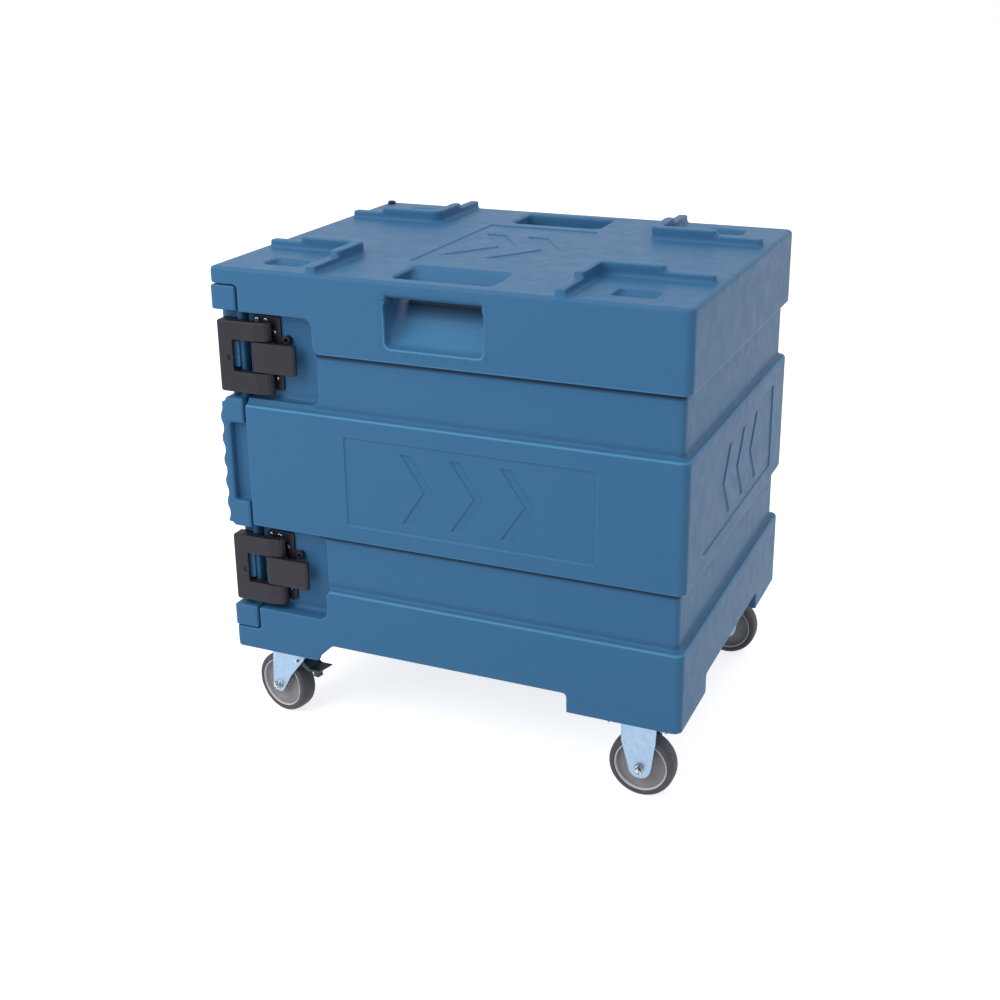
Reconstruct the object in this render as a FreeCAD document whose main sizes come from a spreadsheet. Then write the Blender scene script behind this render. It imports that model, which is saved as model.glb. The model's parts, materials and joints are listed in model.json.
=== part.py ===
import FreeCAD
import Part
import math
import os
import re

import Sketcher

# Insulated front-loading food carrier on four casters, in millimetres.
# X runs across the door (latches on +X, hinge on -X), the door faces -Y, Z is up from the floor.

doc = FreeCAD.newDocument("food_carrier")
dims = doc.addObject("Spreadsheet::Sheet", "dims")

SIZES = (
    # outer moulding
    ("body_width", 568, "over the two long sides"),
    ("body_length", 730, "door face to back face"),
    ("body_top", 745, "top face above the floor"),
    ("foot_level", 134, "underside of the corner feet above the floor"),
    ("underside_level", 160, "underside between the feet"),
    ("foot_length", 172, "corner foot along the long side"),
    ("foot_width", 134, "corner foot across the carrier"),
    ("foot_slope", 28, "run of the sloped end of the front feet"),
    ("corner_radius", 12, "upright outer corners at the back"),
    ("front_radius", 6, "upright outer corners at the door"),
    ("edge_radius", 5, "rim of the top face"),
    ("band_step", 10, "how far the raised bands stand out"),
    ("ledge_drop", 3, "sloped upper edge of a raised band"),
    ("top_band_low", 628, "lower edge of the top band"),
    ("middle_band_high", 538.5, "upper edge of the middle band"),
    ("middle_band_low", 343, "lower edge of the middle band"),
    ("base_band_high", 255, "upper edge of the base band"),
    ("lip_thick", 26, "top lip over the door"),
    ("sill_level", 166, "top of the sill under the door"),
    # cavity
    ("side_wall", 46, "double wall at the sides"),
    ("back_wall", 48, "double wall at the back"),
    ("floor_level", 206, "cavity floor"),
    ("ceiling_level", 640, "cavity ceiling"),
    ("cavity_radius", 20, "cavity corners"),
    ("skin", 5, "moulded skin"),
    ("runner_depth", 30, "tray runner out of the wall"),
    ("runner_thick", 12, "tray runner height"),
    ("runner_pitch", 66, "tray spacing"),
    ("runner_first", 244, "lowest runner"),
    ("runner_inset", 22, "runner end back from the cavity mouth"),
    # hand grips moulded into the long sides
    ("grip_length", 152, "hand opening along the side"),
    ("grip_shift", -5, "hand opening centre along the side"),
    ("grip_depth", 112, "hand pocket in from the side"),
    ("grip_bar_width", 26, "grip bar, side to side"),
    ("grip_bar_drop", 25, "grip bar, top to bottom"),
    ("scoop_low", 648, "lower lip of the hand opening"),
    ("scoop_radius", 12, "corners of the hand opening"),
    # top face
    ("rib_inner", 123, "inner face of the stacking ribs from the centre line"),
    ("rib_cross_rear", 181, "rear cross ribs from the centre"),
    ("rib_cross_front", 197, "front cross ribs from the centre"),
    ("rib_width", 16, "stacking rib width"),
    ("rib_high", 20, "tall part of a stacking rib"),
    ("rib_low", 12, "low part of a stacking rib"),
    ("rib_tall_across", 88, "tall length of the cross leg"),
    ("rib_tall_along", 98, "tall length of the long leg"),
    ("rib_end_gap", 14, "rib end back from the end edge"),
    ("rib_round", 4, "rounded rib ends"),
    ("rib_bend", 18, "outside of the bend in a stacking rib"),
    ("dimple_across", 223, "locating pocket from the centre line"),
    ("dimple_along", 268, "locating pocket from the centre"),
    ("dimple_width", 40, "locating pocket, side to side"),
    ("dimple_length", 60, "locating pocket, front to back"),
    ("dimple_depth", 8, "locating pocket depth"),
    # engraved panels
    ("panel_line", 3, "width of an engraved line"),
    ("panel_depth", 1.5, "depth of an engraving"),
    ("side_panel_length", 392, "panel on the long sides"),
    ("side_panel_shift", 41, "its centre, towards the back"),
    ("end_panel_length", 398, "panel on the door and the back"),
    ("panel_height", 140, "panels on the sides, back and door"),
    ("panel_middle", 439, "their centre above the floor"),
    ("top_panel_width", 300, "panel on the top face, side to side"),
    ("top_panel_length", 190, "panel on the top face, front to back"),
    ("top_panel_shift", -12, "its centre, towards the door"),
    ("chevron_pitch", 71, "from one chevron to the next"),
    ("chevron_band", 35, "chevron thickness along its direction"),
    # door
    ("door_thick", 41, "door slab"),
    ("door_gap", 3, "between the door slab and the rim"),
    ("door_clearance", 1.5, "above and below the door"),
    ("plug_depth", 15, "inner panel into the cavity"),
    ("plug_clearance", 8, "inner panel to the cavity wall"),
    ("door_heel", 11, "rounded hinge-side heel of the door"),
    ("gasket_width", 12, "door seal"),
    ("gasket_seat", 3, "depth of the seal groove"),
    ("gasket_clearance", 0.4, "seal to the rim"),
    ("pull_deep", 15, "finger slot beside the door grip"),
    ("pull_wide", 25, "finger slot along the side"),
    ("pull_low", 381, "finger slot, lower end"),
    ("pull_high", 507, "finger slot, upper end"),
    ("scallop_pitch", 34.5, "finger scallops on the door grip"),
    ("scallop_first", 358, "lowest scallop"),
    ("scallop_radius", 22, "scallop radius"),
    ("scallop_depth", 3.5, "scallop depth"),
    ("vent_level", 590, "pressure vent above the floor"),
    ("vent_radius", 13, "vent cap"),
    ("vent_stem", 6, "vent stem radius"),
    # door hinge
    ("hinge_across", 18, "hinge axis in from the side"),
    ("hinge_along", 13, "hinge axis in from the door face"),
    ("hinge_pin_radius", 5, "hinge pin"),
    ("hinge_pin_reach", 32, "hinge pin into the door"),
    ("hinge_head_radius", 7, "hinge pin head"),
    ("hinge_head", 5, "hinge pin head height"),
    ("bush_wall", 2.5, "door bush wall"),
    ("running_clearance", 0.06, "pin to bore, radial"),
    ("seat_clearance", 0.05, "fixed pin or screw to its hole, radial"),
    # latches
    ("latch_high", 613, "upper latch centre"),
    ("latch_low", 271, "lower latch centre"),
    ("recess_tall", 134, "latch recess height"),
    ("recess_deep", 26, "latch recess depth"),
    ("recess_long", 122, "latch recess back from the rim"),
    ("recess_radius", 14, "latch recess corners"),
    ("base_thick", 3.8, "latch base plate"),
    ("base_tall", 118, "latch base plate height"),
    ("base_long", 46, "latch base plate length"),
    ("base_setback", 12, "latch base plate back from the rim"),
    ("lever_axis", 24, "lever pivot back from the rim"),
    ("link_axis", 41, "link pivot back from the rim"),
    ("latch_axis_depth", 10, "both pivots in from the side face"),
    ("lever_tall", 45, "lever height"),
    ("lever_reach", 92, "lever end back from the rim"),
    ("lever_thick", 9, "lever plate"),
    ("link_tall", 110, "link height"),
    ("link_arm", 31, "link arm height"),
    ("link_thick", 14, "link arm thickness"),
    ("link_end", 49.5, "link arm end back from the rim"),
    ("link_front", 39, "link bar face ahead of the rim"),
    ("link_bar", 25, "link bar width"),
    ("catch_width", 10, "catch ridge on the door edge"),
    ("catch_height", 10.4, "catch ridge height"),
    ("moving_gap", 0.3, "between parts that move past each other"),
    ("latch_pin_radius", 2.5, "latch pivot pins"),
    ("lug_tall", 10, "base lug height"),
    ("eye_reach", 11, "padlock eye beyond the base plate"),
    ("eye_radius", 6.5, "padlock eye"),
    ("screw_radius", 2.1, "latch screw shank"),
    ("screw_length", 12, "latch screw length"),
    # casters
    ("wheel_radius", 50, "caster wheel"),
    ("wheel_width", 30, "tyre width"),
    ("core_radius", 40, "wheel core"),
    ("hub_radius", 15, "wheel hub"),
    ("web_thick", 8, "wheel web"),
    ("axle_radius", 4, "axle bolt"),
    ("axle_bush_wall", 2, "axle bush"),
    ("fork_gap", 2.5, "fork leg to wheel"),
    ("fork_thick", 3, "fork plate"),
    ("plate_thick", 4, "caster top plate"),
    ("plate_length", 104, "caster top plate, front to back"),
    ("plate_width", 82, "caster top plate, side to side"),
    ("bolt_length_pitch", 80, "caster bolts, front to back"),
    ("bolt_width_pitch", 60, "caster bolts, side to side"),
    ("bolt_radius", 4, "caster bolt shank"),
    ("bolt_head", 5, "caster bolt head height"),
    ("bolt_depth", 16, "caster bolt into the foot"),
    ("rigid_inset", 43.5, "rear caster in from the side"),
    ("rigid_setback", 66, "rear caster in from the back"),
    ("swivel_inset", 52, "front caster in from the side"),
    ("swivel_setback", 78, "front caster in from the door face"),
    ("swivel_turn", -12.8, "front right caster as parked"),
    ("swivel_trail", 27.5, "axle behind the swivel axis"),
    ("crown_level", 112, "underside of the fork crown"),
    ("race_radius", 26, "swivel race"),
    ("king_pin_radius", 6, "swivel rivet"),
    ("pedal_axis_along", 16, "brake pedal pivot ahead of the swivel axis"),
    ("pedal_axis_level", 104, "brake pedal pivot above the floor"),
    ("pedal_reach", 61, "brake pedal tip ahead of the swivel axis"),
    ("pedal_width", 30, "brake pedal width"),
)
RUNNERS = 6
SCALLOPS = 6

for row, (alias, size, note) in enumerate(SIZES, 1):
    dims.set(f"A{row}", alias)
    dims.set(f"B{row}", str(size))
    dims.setAlias(f"B{row}", alias)
    dims.set(f"C{row}", note)
doc.recompute()

# Places used by several pieces, as expressions in the sheet's names.
SIDE = "(body_width / 2)"
BACK = "(body_length / 2)"
FRONT = "(-body_length / 2)"
DOOR_BACK = "(door_thick - body_length / 2)"
RIM = "(door_thick + door_gap - body_length / 2)"
DOOR_LOW = "(sill_level + door_clearance)"
DOOR_HIGH = "(body_top - lip_thick - door_clearance)"
CAVITY_SIDE = "(body_width / 2 - side_wall)"
CAVITY_BACK = "(body_length / 2 - back_wall)"
RECESS_FLOOR = "(body_width / 2 - recess_deep)"
HINGE_X = "(hinge_across - body_width / 2)"
HINGE_Y = "(hinge_along - body_length / 2)"
PLUG_SIDE = "(body_width / 2 - side_wall - plug_clearance)"
PLUG_LOW = "(floor_level + plug_clearance)"
PLUG_HIGH = "(ceiling_level - plug_clearance)"
LATCH_X = "(body_width / 2 - latch_axis_depth)"
LEG_IN = "(wheel_width / 2 + fork_gap)"
LEG_OUT = "(wheel_width / 2 + fork_gap + fork_thick)"
PLATE_LOW = "(foot_level - plate_thick)"
CROWN_HIGH = "(crown_level + fork_thick + 1)"


def bound(text):
    """The same expression, with every name pointing at the sheet."""
    return re.sub(r"\b([a-z]\w*)\b(?!\()", r"dims.\1", str(text))


def value(text):
    """The number that an expression has now."""
    result = dims.evalExpression(str(text))
    return float(getattr(result, "Value", result))


class Piece:
    """One PartDesign body, drawn about its own origin and then set in place."""

    def __init__(self, name, x="0", y="0", z="0", turn=None, many=False):
        self.body = doc.addObject("PartDesign::Body", name)
        self.body.AllowCompound = many
        for axis, text in zip("xyz", (x, y, z)):
            self.body.setExpression(f"Placement.Base.{axis}", bound(text))
        if turn:
            self.body.setExpression("Placement.Rotation.Angle", bound(turn) + " * 1 deg")
        self.steps = 0

    def add(self, kind):
        self.steps += 1
        return self.body.newObject(kind, f"{self.body.Name}_{kind.split(':')[-1]}_{self.steps}")

    def sketch(self, plane, level, loops):
        """Closed loops on an origin plane: lists of points, or (x, y, radius) circles."""
        drawing = self.add("Sketcher::SketchObject")
        origin = self.body.Origin.OriginFeatures
        support = next(item for item in origin if item.Role == plane + "_Plane")
        drawing.AttachmentSupport = (support, [""])
        drawing.MapMode = "FlatFace"
        drawing.setExpression("AttachmentOffset.Base.z", bound(level))
        for loop in loops:
            if isinstance(loop, tuple):
                self.circle(drawing, *loop)
            else:
                self.polygon(drawing, loop)
        return drawing

    def pin_down(self, drawing, geometry, point, x, y):
        for axis, text in (("DistanceX", x), ("DistanceY", y)):
            rule = Sketcher.Constraint(axis, -1, 1, geometry, point, value(text))
            index = drawing.addConstraint(rule)
            drawing.setExpression(f"Constraints[{index}]", bound(text))

    def circle(self, drawing, x, y, radius):
        centre = FreeCAD.Vector(value(x), value(y), 0)
        up = FreeCAD.Vector(0, 0, 1)
        shape = drawing.addGeometry(Part.Circle(centre, up, value(radius)), False)
        self.pin_down(drawing, shape, 3, x, y)
        index = drawing.addConstraint(Sketcher.Constraint("Radius", shape, value(radius)))
        drawing.setExpression(f"Constraints[{index}]", bound(radius))

    def polygon(self, drawing, points):
        spots = [FreeCAD.Vector(value(x), value(y), 0) for x, y in points]
        ends = spots[1:] + spots[:1]
        lines = [drawing.addGeometry(Part.LineSegment(a, b), False) for a, b in zip(spots, ends)]
        for line, following in zip(lines, lines[1:] + lines[:1]):
            drawing.addConstraint(Sketcher.Constraint("Coincident", line, 2, following, 1))
        for line, (x, y) in zip(lines, points):
            self.pin_down(drawing, line, 1, x, y)

    def extrude(self, plane, loops, low, high, cut=False):
        """Pad or pocket between two levels on the axis that the plane faces."""
        near, far = (low, high) if plane != "XZ" else (f"-({high})", f"-({low})")
        drawing = self.sketch(plane, far if cut else near, loops)
        feature = self.add("PartDesign::Pocket" if cut else "PartDesign::Pad")
        feature.Profile = drawing
        feature.setExpression("Length", bound(f"({high}) - ({low})"))
        drawing.Visibility = False
        doc.recompute()
        return feature

    def cut(self, plane, loops, low, high):
        return self.extrude(plane, loops, low, high, cut=True)

    def revolve(self, plane, points, axis):
        """Turn one outline about a sketch axis, H_Axis or V_Axis."""
        drawing = self.sketch(plane, "0", [points])
        feature = self.add("PartDesign::Revolution")
        feature.Profile = drawing
        feature.ReferenceAxis = (drawing, [axis])
        feature.Angle = 360
        drawing.Visibility = False
        doc.recompute()
        return feature

    def edges(self, low, high, along=None):
        """Names of the edges inside a box, or of those along one axis only."""
        floor = [value(text) - 0.05 for text in low]
        roof = [value(text) + 0.05 for text in high]
        names = []
        for index, edge in enumerate(self.body.Tip.Shape.Edges, 1):
            box = edge.BoundBox
            least = (box.XMin, box.YMin, box.ZMin)
            most = (box.XMax, box.YMax, box.ZMax)
            inside = all(a >= b for a, b in zip(least, floor))
            inside = inside and all(a <= b for a, b in zip(most, roof))
            if along:
                spans = [b - a for a, b in zip(least, most)]
                other = [span for axis, span in zip("xyz", spans) if axis != along]
                inside = inside and max(other) < 0.1
            if inside:
                names.append(f"Edge{index}")
        return names

    def dress(self, kind, size, names):
        """Fillet or Chamfer the named edges."""
        base = self.body.Tip
        feature = self.add("PartDesign::" + kind)
        feature.Base = (base, names)
        feature.setExpression("Radius" if kind == "Fillet" else "Size", bound(size))
        doc.recompute()
        return feature

    def round(self, size, low, high, along=None):
        return self.dress("Fillet", size, self.edges(low, high, along))


def rectangle(x0, x1, y0, y1):
    return [(x0, y0), (x1, y0), (x1, y1), (x0, y1)]


def centred(x, y, width, height):
    return rectangle(f"({x}) - ({width}) / 2", f"({x}) + ({width}) / 2",
                     f"({y}) - ({height}) / 2", f"({y}) + ({height}) / 2")


def panel_frame(x, y, width, height):
    """The two loops of an engraved rectangular line."""
    inner = f"({width}) - 2 * panel_line", f"({height}) - 2 * panel_line"
    return [centred(x, y, width, height), centred(x, y, *inner)]


def chevron(x, y, half_span, arm, direction=1):
    """One arrow-shaped stripe whose point looks along the sketch's x axis."""
    tip = f"({x}) + {direction} * ({half_span}) * 0.66"
    stripe = f"{direction} * ({arm})"
    return [(x, f"({y}) + ({half_span})"), (f"({x}) + {stripe}", f"({y}) + ({half_span})"),
            (f"({tip}) + {stripe}", y), (f"({x}) + {stripe}", f"({y}) - ({half_span})"),
            (x, f"({y}) - ({half_span})"), (tip, y)]


ALL = ("-2000", "-2000", "-2000"), ("2000", "2000", "2000")
nodes = {}


# ---------------------------------------------------------------- body moulding
def moulding_block():
    block = Piece("body_moulding")
    block.extrude("XY", [rectangle(f"-{SIDE}", SIDE, FRONT, BACK)], "foot_level", "body_top")
    block.round("corner_radius", (f"-{SIDE}", BACK, "0"), (SIDE, BACK, "2000"), "z")
    block.round("front_radius", (f"-{SIDE}", FRONT, "0"), (SIDE, FRONT, "2000"), "z")
    block.round("edge_radius", ("-2000", "-2000", "body_top"), ("2000", "2000", "body_top"))
    inner = rectangle(f"-({SIDE} - band_step)", f"{SIDE} - band_step",
                      f"{FRONT} + band_step", f"{BACK} - band_step")
    outer = rectangle(f"-({SIDE} + 20)", f"{SIDE} + 20", f"{FRONT} - 20", f"{BACK} + 20")
    grooves = (("middle_band_high", "top_band_low"), ("base_band_high", "middle_band_low"))
    for low, high in grooves:
        block.cut("XY", [outer, inner], low, high)
        block.round("corner_radius - 3", ("-2000", "-2000", low), ("2000", "2000", high), "z")
        rim = block.edges((f"{SIDE} - 1", "-2000", low), (SIDE, "2000", low), "y")
        block.dress("Chamfer", "ledge_drop", rim)
    return block


def open_front(block):
    doorway = rectangle(f"-({SIDE} + 20)", f"{SIDE} + 20", "sill_level", "body_top - lip_thick")
    block.cut("XZ", [doorway], f"{FRONT} - 20", RIM)
    mouth = rectangle(f"-{CAVITY_SIDE}", CAVITY_SIDE, "floor_level", "ceiling_level")
    block.cut("XZ", [mouth], RIM, CAVITY_BACK)
    corner = (f"-({CAVITY_SIDE})", RIM, "floor_level"), (CAVITY_SIDE, CAVITY_BACK, "ceiling_level")
    block.round("cavity_radius", *corner, along="y")
    rungs = []
    for step in range(RUNNERS):
        low = f"runner_first + {step} * runner_pitch"
        for sign in ("", "-"):
            root = f"{sign}({CAVITY_SIDE} + 1)"
            nose = f"{sign}({CAVITY_SIDE} - runner_depth)"
            rungs.append([(root, f"{low} - runner_thick / 2"), (nose, low),
                          (nose, f"{low} + runner_thick"), (root, f"{low} + runner_thick")])
    block.extrude("XZ", rungs, f"{RIM} + runner_inset", f"{CAVITY_BACK} - runner_inset")


def hand_grips(block):
    ends = "grip_shift - grip_length / 2", "grip_shift + grip_length / 2"
    bar_in = f"({SIDE} - grip_bar_width)"
    bar_low = "(body_top - grip_bar_drop)"
    deep = f"({SIDE} - grip_depth)"
    for sign in ("", "-"):
        pocket = [(f"{sign}({SIDE} + 10)", "scoop_low - 2"),
                  (f"{sign}({SIDE} - 26)", "scoop_low + 6"),
                  (f"{sign}({SIDE} - 62)", "scoop_low + 26"),
                  (f"{sign}({SIDE} - 92)", "scoop_low + 56"),
                  (f"{sign}{deep}", "body_top + 1"),
                  (f"{sign}{bar_in}", "body_top + 1"),
                  (f"{sign}{bar_in}", bar_low),
                  (f"{sign}({SIDE} + 10)", bar_low)]
        block.cut("XZ", [pocket], *ends)
        corners = []
        for end in ends:
            for near, far, low, high in (
                    (SIDE, f"({SIDE} - 92)", "scoop_low - 2", "scoop_low + 56"),
                    (SIDE, bar_in, bar_low, bar_low),
                    (bar_in, bar_in, bar_low, "body_top"),
                    (f"({SIDE} - 92)", deep, "scoop_low + 56", "body_top")):
                left, right = (far, near) if not sign else (f"-{near}", f"-{far}")
                corners += block.edges((left, end, low), (right, end, high))
        block.dress("Fillet", "scoop_radius", corners)


def latch_recesses(block):
    for level in ("latch_high", "latch_low"):
        window = centred(f"{RIM} - 50 + (recess_long + 50) / 2", level,
                         "recess_long + 50", "recess_tall")
        block.cut("YZ", [window], RECESS_FLOOR, f"{SIDE} + 10")
        corner_low = (RECESS_FLOOR, f"{RIM} + recess_long", f"{level} - recess_tall / 2")
        corner_high = (SIDE, f"{RIM} + recess_long", f"{level} + recess_tall / 2")
        block.round("recess_radius", corner_low, corner_high, along="x")


def underside(block):
    rear = f"({BACK} - foot_length)"
    front = f"(-({BACK} - foot_length))"
    across = [(f"{front} - foot_slope", "foot_level - 1"), (front, "underside_level"),
              (rear, "underside_level"), (rear, "foot_level - 1")]
    block.cut("YZ", [across], f"-({SIDE} + 10)", f"{SIDE} + 10")
    lengthwise = rectangle(f"-({SIDE} - foot_width)", f"{SIDE} - foot_width",
                           front, f"{BACK} + 10")
    block.cut("XY", [lengthwise], "foot_level - 1", "underside_level")


def stacking_ribs(block):
    """Four L-shaped ribs, each tall by its corner and lower towards its ends."""
    tall, low, outside, inside = [], [], [], []
    for sx in ("", "-"):
        inner = f"{sx}rib_inner"
        outer = f"{sx}(rib_inner + rib_width)"
        turn = f"{sx}(rib_inner + rib_tall_across)"
        edge = f"{sx}({SIDE} - 2)"
        for sy, cross in (("", "rib_cross_rear"), ("-", "rib_cross_front")):
            near = f"{sy}({cross} - rib_width / 2)"
            far = f"{sy}({cross} + rib_width / 2)"
            stop = f"{sy}({cross} + rib_tall_along)"
            end = f"{sy}({BACK} - rib_end_gap)"
            tall.append([(inner, near), (turn, near), (turn, far), (outer, far),
                         (outer, stop), (inner, stop)])
            low.append(rectangle(turn, edge, near, far))
            low.append(rectangle(inner, outer, stop, end))
            outside.append((inner, near))
            inside.append((outer, far))
    block.extrude("XY", tall, "body_top - 1", "body_top + rib_high")
    block.extrude("XY", low, "body_top - 1", "body_top + rib_low")
    floor, roof = "body_top", "body_top + rib_high"

    def upright(spots):
        return [name for x, y in spots for name in block.edges((x, y, floor), (x, y, roof), "z")]

    bends = upright(outside + inside)
    everything = block.edges(("-2000", "-2000", floor), ("2000", "2000", roof), "z")
    block.dress("Fillet", "rib_round", [name for name in everything if name not in bends])
    block.dress("Fillet", "rib_bend", upright(outside))
    block.dress("Fillet", "rib_round * 2", upright(inside))


def top_details(block):
    dimples = [centred(f"{sx}dimple_across", f"{sy}dimple_along", "dimple_width", "dimple_length")
               for sx in ("", "-") for sy in ("", "-")]
    block.cut("XY", dimples, "body_top - dimple_depth", "body_top")
    zone = ("-2000", "-2000", "body_top - dimple_depth"), ("2000", "2000", "body_top")
    block.round("rib_round * 2", *zone, along="z")
    frame = panel_frame("0", "top_panel_shift", "top_panel_width", "top_panel_length")
    block.cut("XY", frame, "body_top - panel_depth", "body_top")
    marks = []
    for step in range(2):
        y = f"top_panel_shift - 75 + {step} * chevron_pitch"
        along = chevron(y, "0", "85", "chevron_band")
        marks.append([(across, forward) for forward, across in along])
    block.cut("XY", marks, "body_top - panel_depth", "body_top")


def wall_panels(block):
    """Plain framed panels with three slim chevrons, on both long sides and the back."""
    for sign, low, high in (("", f"{SIDE} - panel_depth", SIDE),
                            ("-", f"-{SIDE}", f"-({SIDE} - panel_depth)")):
        frame = panel_frame("side_panel_shift", "panel_middle", "side_panel_length", "panel_height")
        marks = [chevron(f"side_panel_shift - 105 + {step} * chevron_pitch * 1.1",
                         "panel_middle", "panel_height / 2 - 16", "chevron_band / 2")
                 for step in range(3)]
        block.cut("YZ", frame, low, high)
        block.cut("YZ", marks, low, high)
    frame = panel_frame("0", "panel_middle", "end_panel_length", "panel_height")
    marks = [chevron(f"-105 + {step} * chevron_pitch * 1.1", "panel_middle",
                     "panel_height / 2 - 16", "chevron_band / 2") for step in range(3)]
    block.cut("XZ", frame, f"{BACK} - panel_depth", BACK)
    block.cut("XZ", marks, f"{BACK} - panel_depth", BACK)


CASTERS = {
    "front_right": (f"({SIDE} - swivel_inset)", f"({FRONT} + swivel_setback)"),
    "front_left": (f"-({SIDE} - swivel_inset)", f"({FRONT} + swivel_setback)"),
    "rear_right": (f"({SIDE} - rigid_inset)", f"({BACK} - rigid_setback)"),
    "rear_left": (f"-({SIDE} - rigid_inset)", f"({BACK} - rigid_setback)"),
}


def bolt_spots(radius):
    """All sixteen caster bolts, as circles seen from above."""
    spots = []
    for x, y in CASTERS.values():
        for sx in ("+", "-"):
            for sy in ("+", "-"):
                spots.append((f"{x} {sx} bolt_width_pitch / 2",
                              f"{y} {sy} bolt_length_pitch / 2", radius))
    return spots


def latch_screw_spots(level, radius):
    """Six screws round each latch base, as circles in the side view."""
    spots = []
    for sign in ("+", "-"):
        for back, up in (("base_setback + 7", "base_tall / 2 - 7"),
                         ("base_setback + 22", "base_tall / 2 - 7"),
                         ("base_setback + base_long - 11", "base_tall / 2 - 24")):
            spots.append((f"{RIM} + {back}", f"{level} {sign} ({up})", radius))
    return spots


def fixing_holes(block):
    block.cut("XY", bolt_spots("bolt_radius + seat_clearance"),
              "foot_level - 1", "foot_level + bolt_depth + 1")
    for level in ("latch_high", "latch_low"):
        block.cut("YZ", latch_screw_spots(level, "screw_radius + seat_clearance"),
                  f"{RECESS_FLOOR} + base_thick - screw_length - 1", f"{RECESS_FLOOR} + 1")
    shaft = (HINGE_X, HINGE_Y, "hinge_pin_radius + seat_clearance")
    block.cut("XY", [shaft], "body_top - lip_thick - 1", "body_top + 1")
    block.cut("XY", [shaft], "foot_level - 1", "sill_level + 1")


def body_foam():
    """Foam between the two skins: a box open at the door, closed inside the moulding."""
    foam = Piece("body_foam")
    low = "(underside_level + skin)"
    side = f"({SIDE} - band_step - skin)"
    shoulder = "(scoop_low - skin - 4)"
    deck = f"({SIDE} - grip_depth - 2 * skin)"
    top = "(body_top - dimple_depth - skin)"
    outline = [(f"-{side}", low), (side, low), (side, shoulder), (deck, shoulder),
               (deck, top), (f"-{deck}", top), (f"-{deck}", shoulder), (f"-{side}", shoulder)]
    foam.extrude("XZ", [outline], f"{RIM} + skin", f"{BACK} - band_step - skin")
    hollow = rectangle(f"-({CAVITY_SIDE} + skin)", f"{CAVITY_SIDE} + skin",
                       "floor_level - skin", "ceiling_level + skin - 2")
    foam.cut("XZ", [hollow], f"{RIM} + skin", f"{CAVITY_BACK} + skin")
    for level in ("latch_high", "latch_low"):
        patch = centred(f"{RIM} + recess_long / 2", level,
                        "recess_long + 2 * skin", "recess_tall + 2 * skin")
        foam.cut("YZ", [patch], f"{RECESS_FLOOR} - 2 * skin", f"{SIDE} + 10")
    return foam.body


block = moulding_block()
open_front(block)
hand_grips(block)
latch_recesses(block)
underside(block)
stacking_ribs(block)
top_details(block)
wall_panels(block)
fixing_holes(block)
nodes["body_foam"] = body_foam()
shell = doc.addObject("Part::Cut", "body_shell")
shell.Base = block.body
shell.Tool = nodes["body_foam"]
nodes["body_shell"] = shell


# ---------------------------------------------------------------- door
def door_moulding():
    door = Piece("door_moulding")
    slab = rectangle(f"-{SIDE}", SIDE, DOOR_LOW, DOOR_HIGH)
    door.extrude("XZ", [slab], FRONT, DOOR_BACK)
    door.round("door_heel", (f"-{SIDE}", DOOR_BACK, "0"), (f"-{SIDE}", DOOR_BACK, "2000"), "z")
    door.round("edge_radius", (f"-{SIDE}", FRONT, "0"), (f"-{SIDE}", FRONT, "2000"), "z")
    for low, high in (("middle_band_high", "top_band_low"), ("base_band_high", "middle_band_low")):
        band = rectangle(f"-{SIDE} - 10", f"{SIDE} + 10", low, high)
        door.cut("XZ", [band], f"{FRONT} - 1", f"{FRONT} + band_step")
    for level in ("latch_high", "latch_low"):
        notch = centred(f"{SIDE}", level, "2 * recess_deep", "recess_tall")
        door.cut("XZ", [notch], f"{FRONT} - 1", f"{DOOR_BACK} + 1")
        ridge = rectangle(RECESS_FLOOR + " - 1", f"{RECESS_FLOOR} + catch_height",
                          f"{DOOR_BACK} - catch_width", DOOR_BACK)
        door.extrude("XY", [ridge], f"{level} - recess_tall / 2", f"{level} + recess_tall / 2")
        crest = f"{RECESS_FLOOR} + catch_height"
        door.round("catch_width / 2 - 0.6", (crest, f"{DOOR_BACK} - catch_width", "0"),
                   (crest, DOOR_BACK, "2000"), "z")
    plug = rectangle(f"-{PLUG_SIDE}", PLUG_SIDE, PLUG_LOW, PLUG_HIGH)
    door.extrude("XZ", [plug], f"{DOOR_BACK} - 1", f"{DOOR_BACK} + plug_depth")
    door.round("cavity_radius - 4", (f"-{PLUG_SIDE}", DOOR_BACK, PLUG_LOW),
               (PLUG_SIDE, f"{DOOR_BACK} + plug_depth", PLUG_HIGH), "y")
    return door


def gasket_loops(grow="0"):
    inner = f"{PLUG_SIDE} + 1", f"{PLUG_LOW} - 1", f"{PLUG_HIGH} + 1"
    outer = [f"{inner[0]} + gasket_width + {grow}", f"{inner[1]} - gasket_width - {grow}",
             f"{inner[2]} + gasket_width + {grow}"]
    return [rectangle(f"-({side})", side, low, high) for side, low, high in (outer, inner)]


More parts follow.
